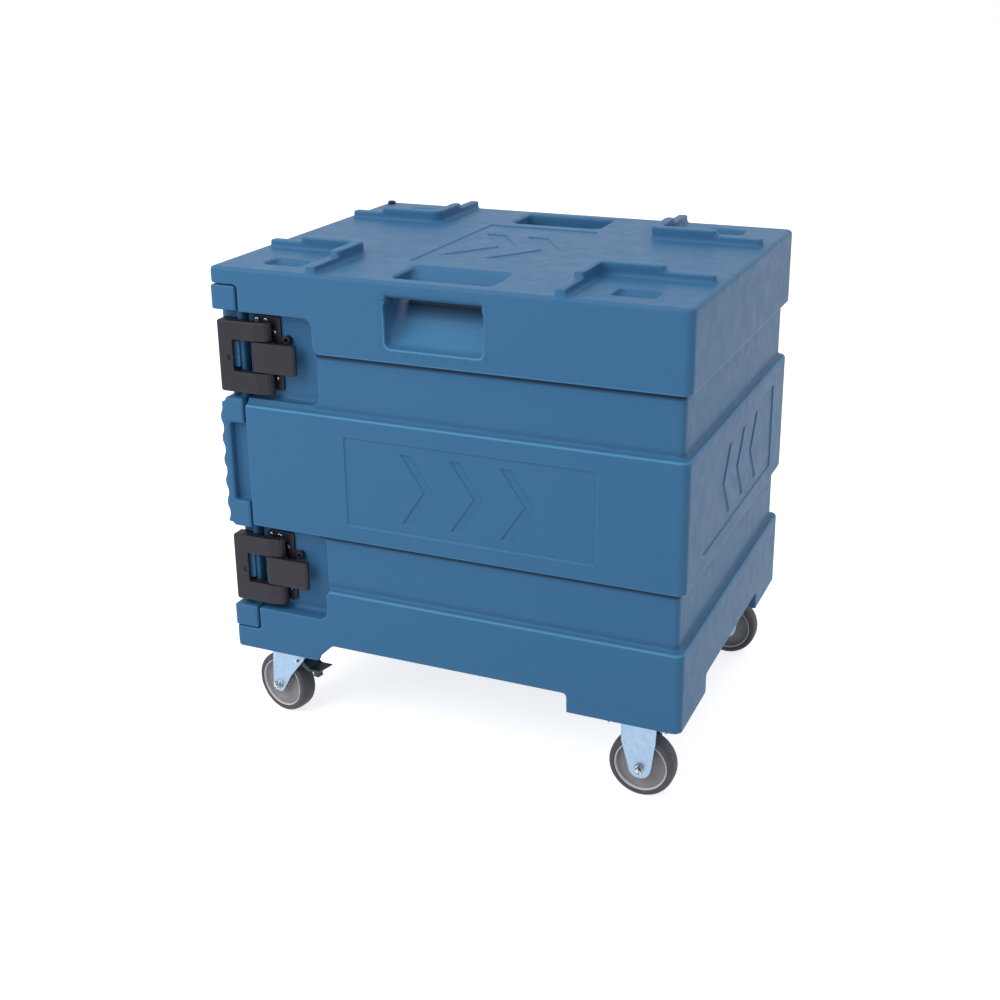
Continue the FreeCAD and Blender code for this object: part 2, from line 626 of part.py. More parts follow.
def door_details(door):
    door.cut("XZ", gasket_loops(), f"{DOOR_BACK} - gasket_seat", DOOR_BACK)
    slot = rectangle(f"{DOOR_BACK} - pull_wide", f"{DOOR_BACK} + 1", "pull_low", "pull_high")
    door.cut("YZ", [slot], f"{SIDE} - pull_deep", f"{SIDE} + 1")
    scallops = [(f"{FRONT} + scallop_depth - scallop_radius",
                 f"scallop_first + {step} * scallop_pitch", "scallop_radius")
                for step in range(SCALLOPS)]
    door.cut("YZ", scallops, RECESS_FLOOR, f"{SIDE} + 1")
    frame = panel_frame("0", "panel_middle", "end_panel_length", "panel_height")
    door.cut("XZ", frame, FRONT, f"{FRONT} + panel_depth")
    marks = [chevron(f"-105 + {step} * chevron_pitch * 1.1", "panel_middle",
                     "panel_height / 2 - 16", "chevron_band / 2") for step in range(3)]
    door.cut("XZ", marks, FRONT, f"{FRONT} + panel_depth")
    stem = ("0", "vent_level", "vent_stem + seat_clearance")
    door.cut("XZ", [stem], FRONT, f"{DOOR_BACK} + plug_depth + 1")
    seat = (HINGE_X, HINGE_Y, "hinge_pin_radius + running_clearance + bush_wall + seat_clearance")
    door.cut("XY", [seat], f"{DOOR_HIGH} - hinge_pin_reach", f"{DOOR_HIGH} + 1")
    door.cut("XY", [seat], f"{DOOR_LOW} - 1", f"{DOOR_LOW} + hinge_pin_reach")


def door_foam():
    foam = Piece("door_foam")
    core = rectangle(f"-({PLUG_SIDE} - skin)", f"{PLUG_SIDE} - skin",
                     f"{PLUG_LOW} + skin", f"{PLUG_HIGH} - skin")
    foam.extrude("XZ", [core], f"{FRONT} + band_step + skin", f"{DOOR_BACK} + plug_depth - skin")
    sleeve = ("0", "vent_level", "vent_stem + skin")
    foam.cut("XZ", [sleeve], FRONT, f"{DOOR_BACK} + plug_depth")
    return foam.body


door = door_moulding()
door_details(door)
nodes["door_foam"] = door_foam()
door_shell = doc.addObject("Part::Cut", "door_shell")
door_shell.Base = door.body
door_shell.Tool = nodes["door_foam"]
nodes["door_shell"] = door_shell

gasket = Piece("door_gasket")
gasket.extrude("XZ", gasket_loops("0"), f"{DOOR_BACK} - gasket_seat", f"{RIM} - gasket_clearance")
nodes["door_gasket"] = gasket.body

vent = Piece("vent_cap", y=f"{FRONT} + band_step", z="vent_level")
vent.extrude("XZ", [("0", "0", "vent_radius")], "-5", "0")
vent.round("2.5", ("-50", "-5", "-50"), ("50", "-5", "50"))
vent.extrude("XZ", [("0", "0", "vent_stem")], "0", "door_thick + plug_depth - band_step")
nodes["vent_cap"] = vent.body


# ---------------------------------------------------------------- door hinge
def hinge_pin(name, head_level, sign):
    """A headed pin: sign 1 hangs down through the lip, sign -1 stands up through the sill."""
    pin = Piece(name, HINGE_X, HINGE_Y, head_level)
    slab = "lip_thick" if sign == 1 else "(sill_level - foot_level)"
    reach = f"{slab} + door_clearance + hinge_pin_reach - 4"
    outline = [("0", f"{sign} * hinge_head"), ("hinge_head_radius - 2", f"{sign} * hinge_head"),
               ("hinge_head_radius", f"{sign} * (hinge_head - 2)"), ("hinge_head_radius", "0"),
               ("hinge_pin_radius", "0"), ("hinge_pin_radius", f"{-sign} * ({reach} - 1)"),
               ("hinge_pin_radius - 1", f"{-sign} * ({reach})"), ("0", f"{-sign} * ({reach})")]
    pin.revolve("XZ", outline, "V_Axis")
    return pin.body


def hinge_bush(name, level, sign):
    """A flanged nylon bush pressed into the door, its flange in the gap to the lip or sill."""
    bush = Piece(name, HINGE_X, HINGE_Y, level)
    bore = "(hinge_pin_radius + running_clearance)"
    flange = f"{sign} * (door_clearance - moving_gap - 0.2)"
    length = f"{-sign} * (hinge_pin_reach - 1)"
    outline = [(bore, flange), (f"{bore} + 2 * bush_wall", flange), (f"{bore} + 2 * bush_wall", "0"),
               (f"{bore} + bush_wall", "0"), (f"{bore} + bush_wall", length), (bore, length)]
    bush.revolve("XZ", outline, "V_Axis")
    return bush.body


nodes["hinge_pin_upper"] = hinge_pin("hinge_pin_upper", "body_top", 1)
nodes["hinge_pin_lower"] = hinge_pin("hinge_pin_lower", "foot_level", -1)
nodes["hinge_bush_upper"] = hinge_bush("hinge_bush_upper", DOOR_HIGH, 1)
nodes["hinge_bush_lower"] = hinge_bush("hinge_bush_lower", DOOR_LOW, -1)


# ---------------------------------------------------------------- latches
def latch_base(name, level):
    """Screwed plate with the lever's lug in the middle and a padlock eye."""
    base = Piece(name, z=level)
    start = f"({RIM} + base_setback)"
    plate = centred(f"{start} + base_long / 2", "0", "base_long", "base_tall")
    top = f"({RECESS_FLOOR} + base_thick)"
    base.extrude("YZ", [plate], RECESS_FLOOR, top)
    base.round("4", *ALL, along="x")
    axis_y = f"{RIM} + lever_axis"
    neck = rectangle(f"{top} - 1", LATCH_X, f"{axis_y} - latch_pin_radius - 3",
                     f"{axis_y} + latch_pin_radius + 3")
    base.extrude("XY", [neck], "-lug_tall / 2", "lug_tall / 2")
    base.extrude("XY", [(LATCH_X, axis_y, "latch_pin_radius + 3")], "-lug_tall / 2", "lug_tall / 2")
    eye_y, eye_z = f"{start} + base_long + eye_reach", "(lever_tall / 2 + 3)"
    arm = rectangle(f"{start} + base_long - 3", eye_y, f"{eye_z} - 4.5", f"{eye_z} + 4.5")
    base.extrude("YZ", [arm], RECESS_FLOOR, top)
    base.extrude("YZ", [(eye_y, eye_z, "eye_radius")], RECESS_FLOOR, f"{top} + 5")
    base.cut("YZ", [(eye_y, eye_z, "eye_radius / 2 - 0.4")], RECESS_FLOOR, f"{top} + 6")
    base.cut("XY", [(LATCH_X, axis_y, "latch_pin_radius + seat_clearance")], "-lug_tall", "lug_tall")
    spots = latch_screw_spots("0", "screw_radius + seat_clearance")
    base.cut("YZ", spots, f"{RECESS_FLOOR} - 1", f"{top} + 1")
    return base.body


def latch_lever(name, level):
    """Over-centre lever: a rounded knuckle at the base pivot, then a flat paddle."""
    lever = Piece(name, z=level)
    half = "lever_tall / 2"
    axis_y = f"({RIM} + lever_axis)"
    link_y = f"({RIM} + link_axis)"
    face = f"({LATCH_X} + latch_axis_depth - 0.2)"
    rear = f"({face} - lever_thick)"
    end = f"({RIM} + lever_reach)"
    knuckle = "(latch_axis_depth - 0.2)"
    lever.extrude("XY", [(LATCH_X, axis_y, knuckle)], f"-{half}", half)
    paddle = [(f"{LATCH_X} - 8", f"{axis_y}"), (face, axis_y), (face, f"{end} - 3"),
              (f"{face} - 3", end), (f"{rear} + 2", end), (rear, f"{end} - 8"),
              (rear, f"{link_y} + 14"), (f"{LATCH_X} - 8", f"{link_y} + 6")]
    lever.extrude("XY", [paddle], f"-{half}", half)
    gap = f"(lug_tall / 2 + moving_gap + 0.2)"
    slot = rectangle(f"{LATCH_X} - 20", f"{face} - 2.4", f"{axis_y} - 20",
                     f"{axis_y} + latch_pin_radius + 3 + moving_gap + 0.3")
    lever.cut("XY", [slot], f"-{gap}", gap)
    bore = "latch_pin_radius + running_clearance"
    lever.cut("XY", [(LATCH_X, axis_y, bore), (LATCH_X, link_y, "latch_pin_radius + seat_clearance")],
              "-lever_tall", "lever_tall")
    lever.round("2.5", (f"{rear} + 2", end, f"-{half}"), (face, end, half), along="x")
    return lever.body


def latch_link(name, level):
    """C-shaped link: two arms on the link pivot and a bar that hooks over the door's ridge."""
    link = Piece(name, z=level)
    half = "link_tall / 2"
    front = f"({RIM} - link_front)"
    bar_back = f"({RIM} - link_front + link_bar)"
    end = f"({RIM} + link_end)"
    gap = "(link_tall / 2 - link_arm)"
    outer = f"({SIDE} - 1)"
    inner = f"({SIDE} - 1 - link_thick)"
    outline = [(front, f"-{half}"), (end, f"-{half}"), (end, f"-{gap}"), (bar_back, f"-{gap}"),
               (bar_back, gap), (end, gap), (end, half), (front, half)]
    link.extrude("YZ", [outline], inner, outer)
    hook = rectangle(front, bar_back, f"-{half}", half)
    link.extrude("YZ", [hook], f"{RECESS_FLOOR} + 3", f"{inner} + 1")
    link.round("4", (RECESS_FLOOR, front, f"-{half}"), (outer, front, half), along="x")
    link.round("3", (outer, front, f"-{half}"), (outer, front, half), along="z")
    link.round("link_thick - 3", (outer, end, f"-{half}"), (outer, end, half), along="z")
    spot = (LATCH_X, f"{RIM} + link_axis", "latch_pin_radius + running_clearance")
    link.cut("XY", [spot], "-link_tall", "link_tall")
    return link.body


def latch_pin(name, level, back, length):
    pin = Piece(name, LATCH_X, f"{RIM} + {back}", level)
    pin.extrude("XY", [("0", "0", "latch_pin_radius")], f"-({length}) / 2", f"({length}) / 2")
    return pin.body


def latch_screws(name, level):
    screws = Piece(name, z=level, many=True)
    top = f"({RECESS_FLOOR} + base_thick)"
    screws.extrude("YZ", latch_screw_spots("0", "screw_radius"), f"{top} - screw_length", top)
    screws.extrude("YZ", latch_screw_spots("0", "screw_radius * 1.9"), top, f"{top} + 2.4")
    crowns = screws.edges((f"{top} + 2.4", "-2000", "-2000"), (f"{top} + 2.4", "2000", "2000"))
    screws.dress("Fillet", "1.4", crowns)
    return screws.body


for side, level in (("upper", "latch_high"), ("lower", "latch_low")):
    nodes[f"latch_base_{side}"] = latch_base(f"latch_base_{side}", level)
    nodes[f"latch_lever_{side}"] = latch_lever(f"latch_lever_{side}", level)
    nodes[f"latch_link_{side}"] = latch_link(f"latch_link_{side}", level)
    lever_pin = f"lever_pin_{side}"
    link_pin = f"link_pin_{side}"
    nodes[lever_pin] = latch_pin(lever_pin, level, "lever_axis", "lever_tall - 1")
    nodes[link_pin] = latch_pin(link_pin, level, "link_axis", "link_tall - 16")
    nodes[f"latch_screws_{side}"] = latch_screws(f"latch_screws_{side}", level)


# ---------------------------------------------------------------- casters
class Caster:
    """Local frame: swivel axis or plate centre at x = y = 0, floor at z = 0, axle along X."""

    def __init__(self, name, swivel, turn=None):
        self.name = name
        self.x, self.y = CASTERS[name]
        self.turn = turn
        self.trail = "-swivel_trail" if swivel else "0"

    def piece(self, label, centre_on_axle=False, turned=True):
        name = f"{self.name}_{label}"
        turn = self.turn if turned else None
        if not centre_on_axle:
            return Piece(name, self.x, self.y, "0", turn)
        x, y = self.x, f"{self.y} + {self.trail}"
        if self.turn:
            x = f"{self.x} - {self.trail} * sin({self.turn})"
            y = f"{self.y} + {self.trail} * cos({self.turn})"
        return Piece(name, x, y, "wheel_radius", turn)

    def keep(self, piece):
        nodes[piece.body.Name] = piece.body

    def wheel(self):
        half = "wheel_width / 2"
        bore = "(axle_radius + seat_clearance + axle_bush_wall + running_clearance)"
        core = self.piece("wheel_core", True)
        side = [(half, bore), (half, "hub_radius - 1"), (f"{half} - 1", "hub_radius"),
                ("web_thick / 2 + 1", "hub_radius + 3"), ("web_thick / 2", "core_radius - 6"),
                (f"{half} - 2", "core_radius - 3"), (f"{half} - 1", "core_radius - 2"),
                (f"{half} - 1", "core_radius")]
        outline = side + [(f"-({x})", r) for x, r in reversed(side)]
        core.revolve("XZ", outline, "H_Axis")
        self.keep(core)
        tyre = self.piece("tyre", True)
        side = [(f"{half} - 1.5", "core_radius"), (half, "core_radius + 2"),
                (half, "wheel_radius - 5"), (f"{half} - 2", "wheel_radius - 2"),
                (f"{half} - 6", "wheel_radius")]
        outline = side + [(f"-({x})", r) for x, r in reversed(side)]
        tyre.revolve("XZ", outline, "H_Axis")
        self.keep(tyre)

    def axle(self):
        half = f"({LEG_OUT})"
        bush = self.piece("axle_bush", True)
        inner, outer = "axle_radius + seat_clearance", "axle_radius + seat_clearance + axle_bush_wall"
        bush.extrude("YZ", [("0", "0", outer), ("0", "0", inner)], f"-{LEG_IN}", LEG_IN)
        self.keep(bush)
        bolt = self.piece("axle_bolt", True)
        bolt.extrude("YZ", [("0", "0", "axle_radius")], f"-{half}", f"{half} + 9")
        bolt.extrude("YZ", [hexagon("axle_radius * 1.75")], f"-({half} + 5)", f"-{half}")
        self.keep(bolt)
        nut = self.piece("axle_nut", True)
        ring = ("0", "0", "axle_radius + seat_clearance")
        nut.extrude("YZ", [hexagon("axle_radius * 1.75"), ring], half, f"{half} + 6")
        self.keep(nut)

    def rigid_bracket(self):
        bracket = self.piece("bracket")
        bracket.extrude("XY", [centred("0", "0", "plate_width", "plate_length")],
                        PLATE_LOW, "foot_level")
        bracket.round("8", *ALL, along="z")
        leg = [("-27", f"{PLATE_LOW} + 1"), ("-26", "wheel_radius + 40"), ("-16.4", "wheel_radius - 5"),
               ("16.4", "wheel_radius - 5"), ("26", "wheel_radius + 40"), ("27", f"{PLATE_LOW} + 1")]
        for low, high in ((LEG_IN, LEG_OUT), (f"-{LEG_OUT}", f"-{LEG_IN}")):
            bracket.extrude("YZ", [leg], low, high)
            bracket.extrude("YZ", [("0", "wheel_radius", "17")], low, high)
        bracket.cut("YZ", [("0", "wheel_radius", "axle_radius + seat_clearance")], "-60", "60")
        bracket.cut("XY", plate_holes(), "foot_level - 20", "foot_level + 1")
        self.keep(bracket)

    def swivel_head(self):
        plate = self.piece("top_plate", turned=False)
        plate.extrude("XY", [centred("0", "0", "plate_width", "plate_length")],
                      PLATE_LOW, "foot_level")
        plate.round("8", *ALL, along="z")
        plate.cut("XY", plate_holes(), "foot_level - 20", "foot_level + 1")
        cup = [("king_pin_radius + seat_clearance", PLATE_LOW), ("race_radius", PLATE_LOW),
               ("race_radius", f"{PLATE_LOW} - 3"), ("race_radius - 3", f"{CROWN_HIGH} + 5"),
               ("king_pin_radius + seat_clearance", f"{CROWN_HIGH} + 5")]
        plate.revolve("XZ", cup, "V_Axis")
        plate.cut("XY", [("0", "0", "king_pin_radius + seat_clearance")], "0", "foot_level + 1")
        self.keep(plate)
        race = self.piece("ball_race", turned=False)
        ring = [("king_pin_radius + 5", f"{CROWN_HIGH} + moving_gap"),
                ("race_radius - 5", f"{CROWN_HIGH} + moving_gap"),
                ("race_radius - 4", f"{CROWN_HIGH} + 2"), ("race_radius - 4", f"{CROWN_HIGH} + 5"),
                ("king_pin_radius + 5", f"{CROWN_HIGH} + 5")]
        race.revolve("XZ", ring, "V_Axis")
        self.keep(race)
        rivet = self.piece("king_pin", turned=False)
        shank = [("0", "foot_level - 1"), ("king_pin_radius", "foot_level - 1"),
                 ("king_pin_radius", f"crown_level - moving_gap"),
                 ("king_pin_radius + 3", f"crown_level - moving_gap"),
                 ("king_pin_radius + 2", f"crown_level - moving_gap - 3"), ("0", f"crown_level - moving_gap - 3")]
        rivet.revolve("XZ", shank, "V_Axis")
        self.keep(rivet)

    def swivel_fork(self):
        fork = self.piece("fork")
        fork.extrude("XY", [rectangle(f"-{LEG_OUT}", LEG_OUT, "-swivel_trail - 9", "32")],
                     "crown_level", CROWN_HIGH)
        rear = "-(swivel_trail + 12.5)"
        leg = [("-swivel_trail - 9", CROWN_HIGH), (rear, "wheel_radius + 2"),
               (f"{rear} + 2", "wheel_radius - 8"), ("-swivel_trail + 10", "wheel_radius - 8"),
               ("0", "wheel_radius + 23"), ("32", "crown_level + 1"), ("32", CROWN_HIGH)]
        for low, high in ((LEG_IN, LEG_OUT), (f"-{LEG_OUT}", f"-{LEG_IN}")):
            fork.extrude("YZ", [leg], low, high)
            fork.extrude("YZ", [("-swivel_trail", "wheel_radius", "12.5")], low, high)
        fork.cut("YZ", [("-swivel_trail", "wheel_radius", "axle_radius + seat_clearance"),
                        ("pedal_axis_along", "pedal_axis_level", "2.5 + seat_clearance")], "-60", "60")
        fork.cut("XY", [("0", "0", "king_pin_radius + running_clearance")],
                 "crown_level - 1", f"{CROWN_HIGH} + 1")
        self.keep(fork)

    def brake(self):
        half = "pedal_width / 2"
        pedal = self.piece("brake_pedal")
        y, z = "pedal_axis_along", "pedal_axis_level"
        pedal.extrude("YZ", [(y, z, "5")], f"-{half}", half)
        arm = [(f"{y} - 3", f"{z} - 4"), (f"{y} + 17", f"{z} - 14"), ("pedal_reach - 3", f"{z} - 10"),
               ("pedal_reach", f"{z} - 6"), (f"{y} + 22", f"{z} - 9"), (f"{y}", f"{z} + 4.5")]
        pedal.extrude("YZ", [arm], f"-{half}", half)
        shoe = [(f"{y} + 3", f"{z} - 2"), (f"{y} - 4", f"{z} - 2"), (f"{y} - 5.5", f"{z} - 15"),
                (f"{y} - 2", f"{z} - 17.5"), (f"{y} + 5", f"{z} - 10")]
        pedal.extrude("YZ", [shoe], f"-({half} - 5)", f"{half} - 5")
        stub = rectangle(f"{y} + 21", f"{y} + 31", f"{z} - 26", f"{z} - 11")
        pedal.extrude("YZ", [stub], f"-({half} - 9)", f"{half} - 9")
        pedal.cut("YZ", [(y, z, "2.5 + running_clearance")], "-60", "60")
        self.keep(pedal)
        pin = self.piece("pedal_pin")
        pin.extrude("YZ", [(y, z, "2.5")], f"-({LEG_OUT} + 1)", f"{LEG_OUT} + 1")
        self.keep(pin)


def hexagon(radius):
    """A hexagon about the sketch origin, by its corner radius."""
    corners = [(math.cos(math.radians(60 * k)), math.sin(math.radians(60 * k))) for k in range(6)]
    return [(f"({radius}) * {c:.6f}", f"({radius}) * {s:.6f}") for c, s in corners]


def plate_holes():
    return [(f"{sx}bolt_width_pitch / 2", f"{sy}bolt_length_pitch / 2", "bolt_radius + seat_clearance")
            for sx in ("", "-") for sy in ("", "-")]


for name in CASTERS:
    swivel = name.startswith("front")
    caster = Caster(name, swivel, "swivel_turn" if name == "front_right" else None)
    caster.wheel()
    caster.axle()
    if swivel:
        caster.swivel_head()
        caster.swivel_fork()
        caster.brake()
    else:
        caster.rigid_bracket()

bolts = Piece("caster_bolts", many=True)
bolts.extrude("XY", bolt_spots("bolt_radius"), PLATE_LOW, "foot_level + bolt_depth")
bolts.extrude("XY", bolt_spots("bolt_radius * 1.75"), f"{PLATE_LOW} - bolt_head", PLATE_LOW)
nodes["caster_bolts"] = bolts.body


# ---------------------------------------------------------------- checks and export
doc.recompute()
broken = [item.Name for item in doc.Objects if {"Invalid", "Error"} & set(item.State)]
if broken:
    raise RuntimeError("these did not build: " + ", ".join(broken))
for name, item in nodes.items():
    if item.Shape.isNull() or not item.Shape.isValid() or not item.Shape.Solids:
        raise RuntimeError(f"{name} is not a valid solid")
os.makedirs("parts", exist_ok=True)
for name, item in nodes.items():
    item.Shape.exportStep(f"parts/{name}.step")
print(len(nodes), "nodes")
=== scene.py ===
"""Insulated food carrier: finishes, rounded mouldings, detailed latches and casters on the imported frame."""
import json
import math

import bmesh
import bpy
import numpy as np
from mathutils import Matrix, Vector


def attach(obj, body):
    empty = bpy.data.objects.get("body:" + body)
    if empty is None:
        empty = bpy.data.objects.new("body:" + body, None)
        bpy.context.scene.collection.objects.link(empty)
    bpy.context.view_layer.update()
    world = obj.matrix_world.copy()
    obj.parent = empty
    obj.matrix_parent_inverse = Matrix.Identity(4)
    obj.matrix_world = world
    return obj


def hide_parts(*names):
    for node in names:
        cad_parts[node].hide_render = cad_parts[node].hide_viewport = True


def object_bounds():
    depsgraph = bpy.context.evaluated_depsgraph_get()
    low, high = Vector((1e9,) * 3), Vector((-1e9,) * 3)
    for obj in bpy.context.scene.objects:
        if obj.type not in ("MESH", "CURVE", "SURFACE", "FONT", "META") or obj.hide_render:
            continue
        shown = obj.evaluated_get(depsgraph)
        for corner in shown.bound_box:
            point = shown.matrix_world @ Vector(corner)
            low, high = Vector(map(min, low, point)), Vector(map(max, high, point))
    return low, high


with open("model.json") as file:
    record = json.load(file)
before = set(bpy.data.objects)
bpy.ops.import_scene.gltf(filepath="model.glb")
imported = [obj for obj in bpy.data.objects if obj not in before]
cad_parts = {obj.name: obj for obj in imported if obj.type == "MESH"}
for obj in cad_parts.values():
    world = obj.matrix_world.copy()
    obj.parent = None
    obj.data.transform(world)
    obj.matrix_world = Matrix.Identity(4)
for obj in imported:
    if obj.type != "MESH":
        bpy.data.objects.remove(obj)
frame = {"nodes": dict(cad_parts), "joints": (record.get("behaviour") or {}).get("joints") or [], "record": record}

cad_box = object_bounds()
nodes = frame["nodes"]
joints = {joint["name"]: joint for joint in frame["joints"]}


# ---------------------------------------------------------------- materials
class Look:
    """One material: a Principled shader and the textures that vary it over the surface."""

    def __init__(self, name, colour, rough, metallic=0.0, specular=0.5):
        self.material = bpy.data.materials.new(name)
        self.material.use_nodes = True
        self.tree = self.material.node_tree
        self.shader = self.tree.nodes["Principled BSDF"]
        self.shader.inputs["Base Color"].default_value = (*colour, 1)
        self.shader.inputs["Roughness"].default_value = rough
        self.shader.inputs["Metallic"].default_value = metallic
        self.shader.inputs["Specular IOR Level"].default_value = specular
        self.place = self.node("ShaderNodeTexCoord").outputs["Object"]
        self.start = colour
        self.colour = None
        self.heights = []

    def node(self, kind, **settings):
        made = self.tree.nodes.new(kind)
        for key, setting in settings.items():
            setattr(made, key, setting)
        return made

    def link(self, source, target):
        self.tree.links.new(source, target)

    def stretched(self, scale):
        mapping = self.node("ShaderNodeMapping")
        mapping.inputs["Scale"].default_value = scale
        self.link(self.place, mapping.inputs["Vector"])
        return mapping.outputs["Vector"]

    def noise(self, scale, detail=2.0, rough=0.5, stretch=None):
        made = self.node("ShaderNodeTexNoise")
        made.inputs["Scale"].default_value = scale
        made.inputs["Detail"].default_value = detail
        made.inputs["Roughness"].default_value = rough
        self.link(self.stretched(stretch) if stretch else self.place, made.inputs["Vector"])
        return made.outputs["Fac"]

    def cells(self, scale):
        made = self.node("ShaderNodeTexVoronoi")
        made.inputs["Scale"].default_value = scale
        self.link(self.place, made.inputs["Vector"])
        return made.outputs["Distance"]

    def spread(self, source, low, high, to_low=0.0, to_high=1.0):
        made = self.node("ShaderNodeMapRange")
        for key, number in (("From Min", low), ("From Max", high), ("To Min", to_low), ("To Max", to_high)):
            made.inputs[key].default_value = number
        self.link(source, made.inputs["Value"])
        return made.outputs["Result"]

    def tint(self, amount, colour):
        """Lay another colour over what is there, by amount."""
        mix = self.node("ShaderNodeMix", data_type="RGBA")
        self.link(amount, mix.inputs["Factor"])
        below, above = [socket for socket in mix.inputs if socket.type == "RGBA"]
        if self.colour is None:
            below.default_value = (*self.start, 1)
        else:
            self.link(self.colour, below)
        above.default_value = (*colour, 1)
        self.colour = next(socket for socket in mix.outputs if socket.type == "RGBA")

    def roughen(self, source):
        self.link(source, self.shader.inputs["Roughness"])

    def bump(self, source, depth, strength=1.0):
        self.heights.append((source, depth, strength))

    def maths(self, operation, *sources):
        made = self.node("ShaderNodeMath", operation=operation)
        for socket, source in zip(made.inputs, sources):
            if isinstance(source, (int, float)):
                socket.default_value = source
            else:
                self.link(source, socket)
        return made.outputs[0]

    def chained(self, operation, sources):
        """One operation over a whole row of sources."""
        total = sources[0]
        for source in sources[1:]:
            total = self.maths(operation, total, source)
        return total

    def product(self, *sources):
        return self.chained("MULTIPLY", sources)

    def largest(self, *sources):
        return self.chained("MAXIMUM", sources)

    def axes(self):
        """The carrier's own X, Y and Z."""
        parts = self.node("ShaderNodeSeparateXYZ")
        self.link(self.place, parts.inputs[0])
        return parts.outputs

    def round_opening(self, centre, half):
        """How far outside an opening in the long sides a point is, seen from the side."""
        squares = []
        for source, middle, reach in zip(self.axes()[1:], centre, half):
            away = self.maths("ABSOLUTE", self.maths("SUBTRACT", source, middle))
            gap = self.maths("MAXIMUM", self.maths("SUBTRACT", away, reach), 0.0)
            squares.append(self.maths("MULTIPLY", gap, gap))
        return self.maths("SQRT", self.maths("ADD", *squares))

    def edge_mask_for_painted_light(self, radius, low, high, most):
        """A mask of the edges, from how far rounding them would turn the surface; it places painted highlights and
        painted shade.
        """
        rounded = self.node("ShaderNodeBevel", samples=4)
        rounded.inputs["Radius"].default_value = radius
        dot = self.node("ShaderNodeVectorMath", operation="DOT_PRODUCT")
        self.link(rounded.outputs["Normal"], dot.inputs[0])
        self.link(self.node("ShaderNodeNewGeometry").outputs["Normal"], dot.inputs[1])
        return self.spread(self.maths("SUBTRACT", 1.0, dot.outputs["Value"]), low, high, 0.0, most)

    def curved(self, low, high, to_low, to_high):
        """How far the surface bulges (above 0.5) or dips."""
        bulge = self.node("ShaderNodeNewGeometry").outputs["Pointiness"]
        return self.spread(bulge, low, high, to_low, to_high)

    def band(self, source, *levels):
        """A strip on four rising levels: it comes in over the first two, goes out over the others."""
        return self.product(self.spread(source, levels[0], levels[1]),
                            self.spread(source, levels[2], levels[3], 1.0, 0.0))

    def attribute(self, name):
        return self.node("ShaderNodeAttribute", attribute_name=name).outputs["Fac"]

    def done(self, edge=0.0):
        if self.colour is not None:
            self.link(self.colour, self.shader.inputs["Base Color"])
        normal = None
        if edge:
            rounded = self.node("ShaderNodeBevel", samples=6)
            rounded.inputs["Radius"].default_value = edge
            normal = rounded.outputs["Normal"]
        for source, depth, strength in self.heights:
            made = self.node("ShaderNodeBump")
            made.inputs["Strength"].default_value = strength
            made.inputs["Distance"].default_value = depth
            self.link(source, made.inputs["Height"])
            if normal:
                self.link(normal, made.inputs["Normal"])
            normal = made.outputs["Normal"]
        if normal:
            self.link(normal, self.shader.inputs["Normal"])
        return self.material


band_feet = (0.628, 0.343)
ledges = (0.5385, 0.255)
opening_y, opening_z = -0.005, 0.684


def band_edges(look, across, along, up, proud):
    """Painted shadow lines under the raised bands and over their ledges, painted highlight lines along their rims.
    """
    outer = look.largest(look.spread(across, 0.266, 0.268), look.spread(along, 0.343, 0.345))
    outer = look.product(outer, look.spread(along, -0.326, -0.322))
    under = [look.band(up, foot - 0.010, foot - 0.005, foot - 0.0025, foot - 0.0015) for foot in band_feet]
    # painted shadow under the foot of each band
    look.tint(look.product(outer, look.largest(*under)), (0.002, 0.017, 0.042))
    # painted shade in the inner corner over each ledge
    over = [look.band(up, ledge + 0.0022, ledge + 0.0035, ledge + 0.0050, ledge + 0.012) for ledge in ledges]
    look.tint(look.product(outer, look.largest(*over), 0.45), (0.014, 0.07, 0.165))
    # painted highlight along the band rims and ledge edges
    rims = [look.band(up, foot - 0.0005, foot + 0.0005, foot + 0.0015, foot + 0.0030) for foot in band_feet]
    rims += [look.band(up, ledge - 0.0045, ledge - 0.0035, ledge - 0.0018, ledge - 0.0006)
             for ledge in ledges]
    look.tint(look.product(outer, proud, look.largest(*rims), 0.55), (0.085, 0.30, 0.52))


def hand_openings(look, across, along, up, proud):
    """Scuffs and a painted highlight on the lip round the hand openings, a painted lighter floor and a painted
    corner highlight inside, and painted shade under their roof.

    Returns the flash line that the mould leaves round them."""
    outside = look.round_opening((opening_y, opening_z), (0.066, 0.026))
    near = look.maths("ABSOLUTE", look.maths("SUBTRACT", outside, 0.0155))
    flash = look.product(look.spread(near, 0.0, 0.0012, 1.0, 0.0),
                         look.spread(look.noise(60, 3), 0.4, 0.6, 0.2, 1.0))
    streaks = look.noise(1.0, 2, stretch=(400, 400, 30))
    beside = look.product(look.spread(near, 0.003, 0.008, 1.0, 0.0),
                          look.spread(streaks, 0.52, 0.68, 0.0, 0.4))
    look.tint(beside, (0.016, 0.085, 0.20))
    # painted highlight on the opening's lower lip
    lip = look.product(look.band(outside, 0.0088, 0.0100, 0.0108, 0.0122), proud)
    look.tint(look.product(lip, look.spread(up, 0.704, 0.690, 0.0, 0.6)), (0.11, 0.30, 0.50))

    middle = look.maths("ABSOLUTE", look.maths("SUBTRACT", along, opening_y))
    inside = look.product(look.spread(across, 0.278, 0.268, 0.0, 1.0),
                          look.spread(middle, 0.084, 0.080, 0.0, 1.0),
                          look.spread(up, 0.640, 0.646))
    # painted light on the lower part of the chute's floor
    look.tint(look.product(inside, look.spread(up, 0.690, 0.672, 0.0, 0.8)), (0.060, 0.205, 0.385))
    # painted shade under the grip bar's roof
    painted_roof_shade = look.product(look.band(up, 0.684, 0.703, 0.7225, 0.7265),
                        look.spread(middle, 0.078, 0.066, 0.25, 0.97))
    look.tint(look.product(inside, painted_roof_shade), (0.002, 0.012, 0.030))
    # painted highlight down one inner corner of the chute
    corner = look.product(look.band(middle, 0.062, 0.068, 0.070, 0.077),
                          look.band(up, 0.655, 0.690, 0.712, 0.718))
    look.tint(look.product(inside, corner, 0.8), (0.13, 0.19, 0.30))
    return flash


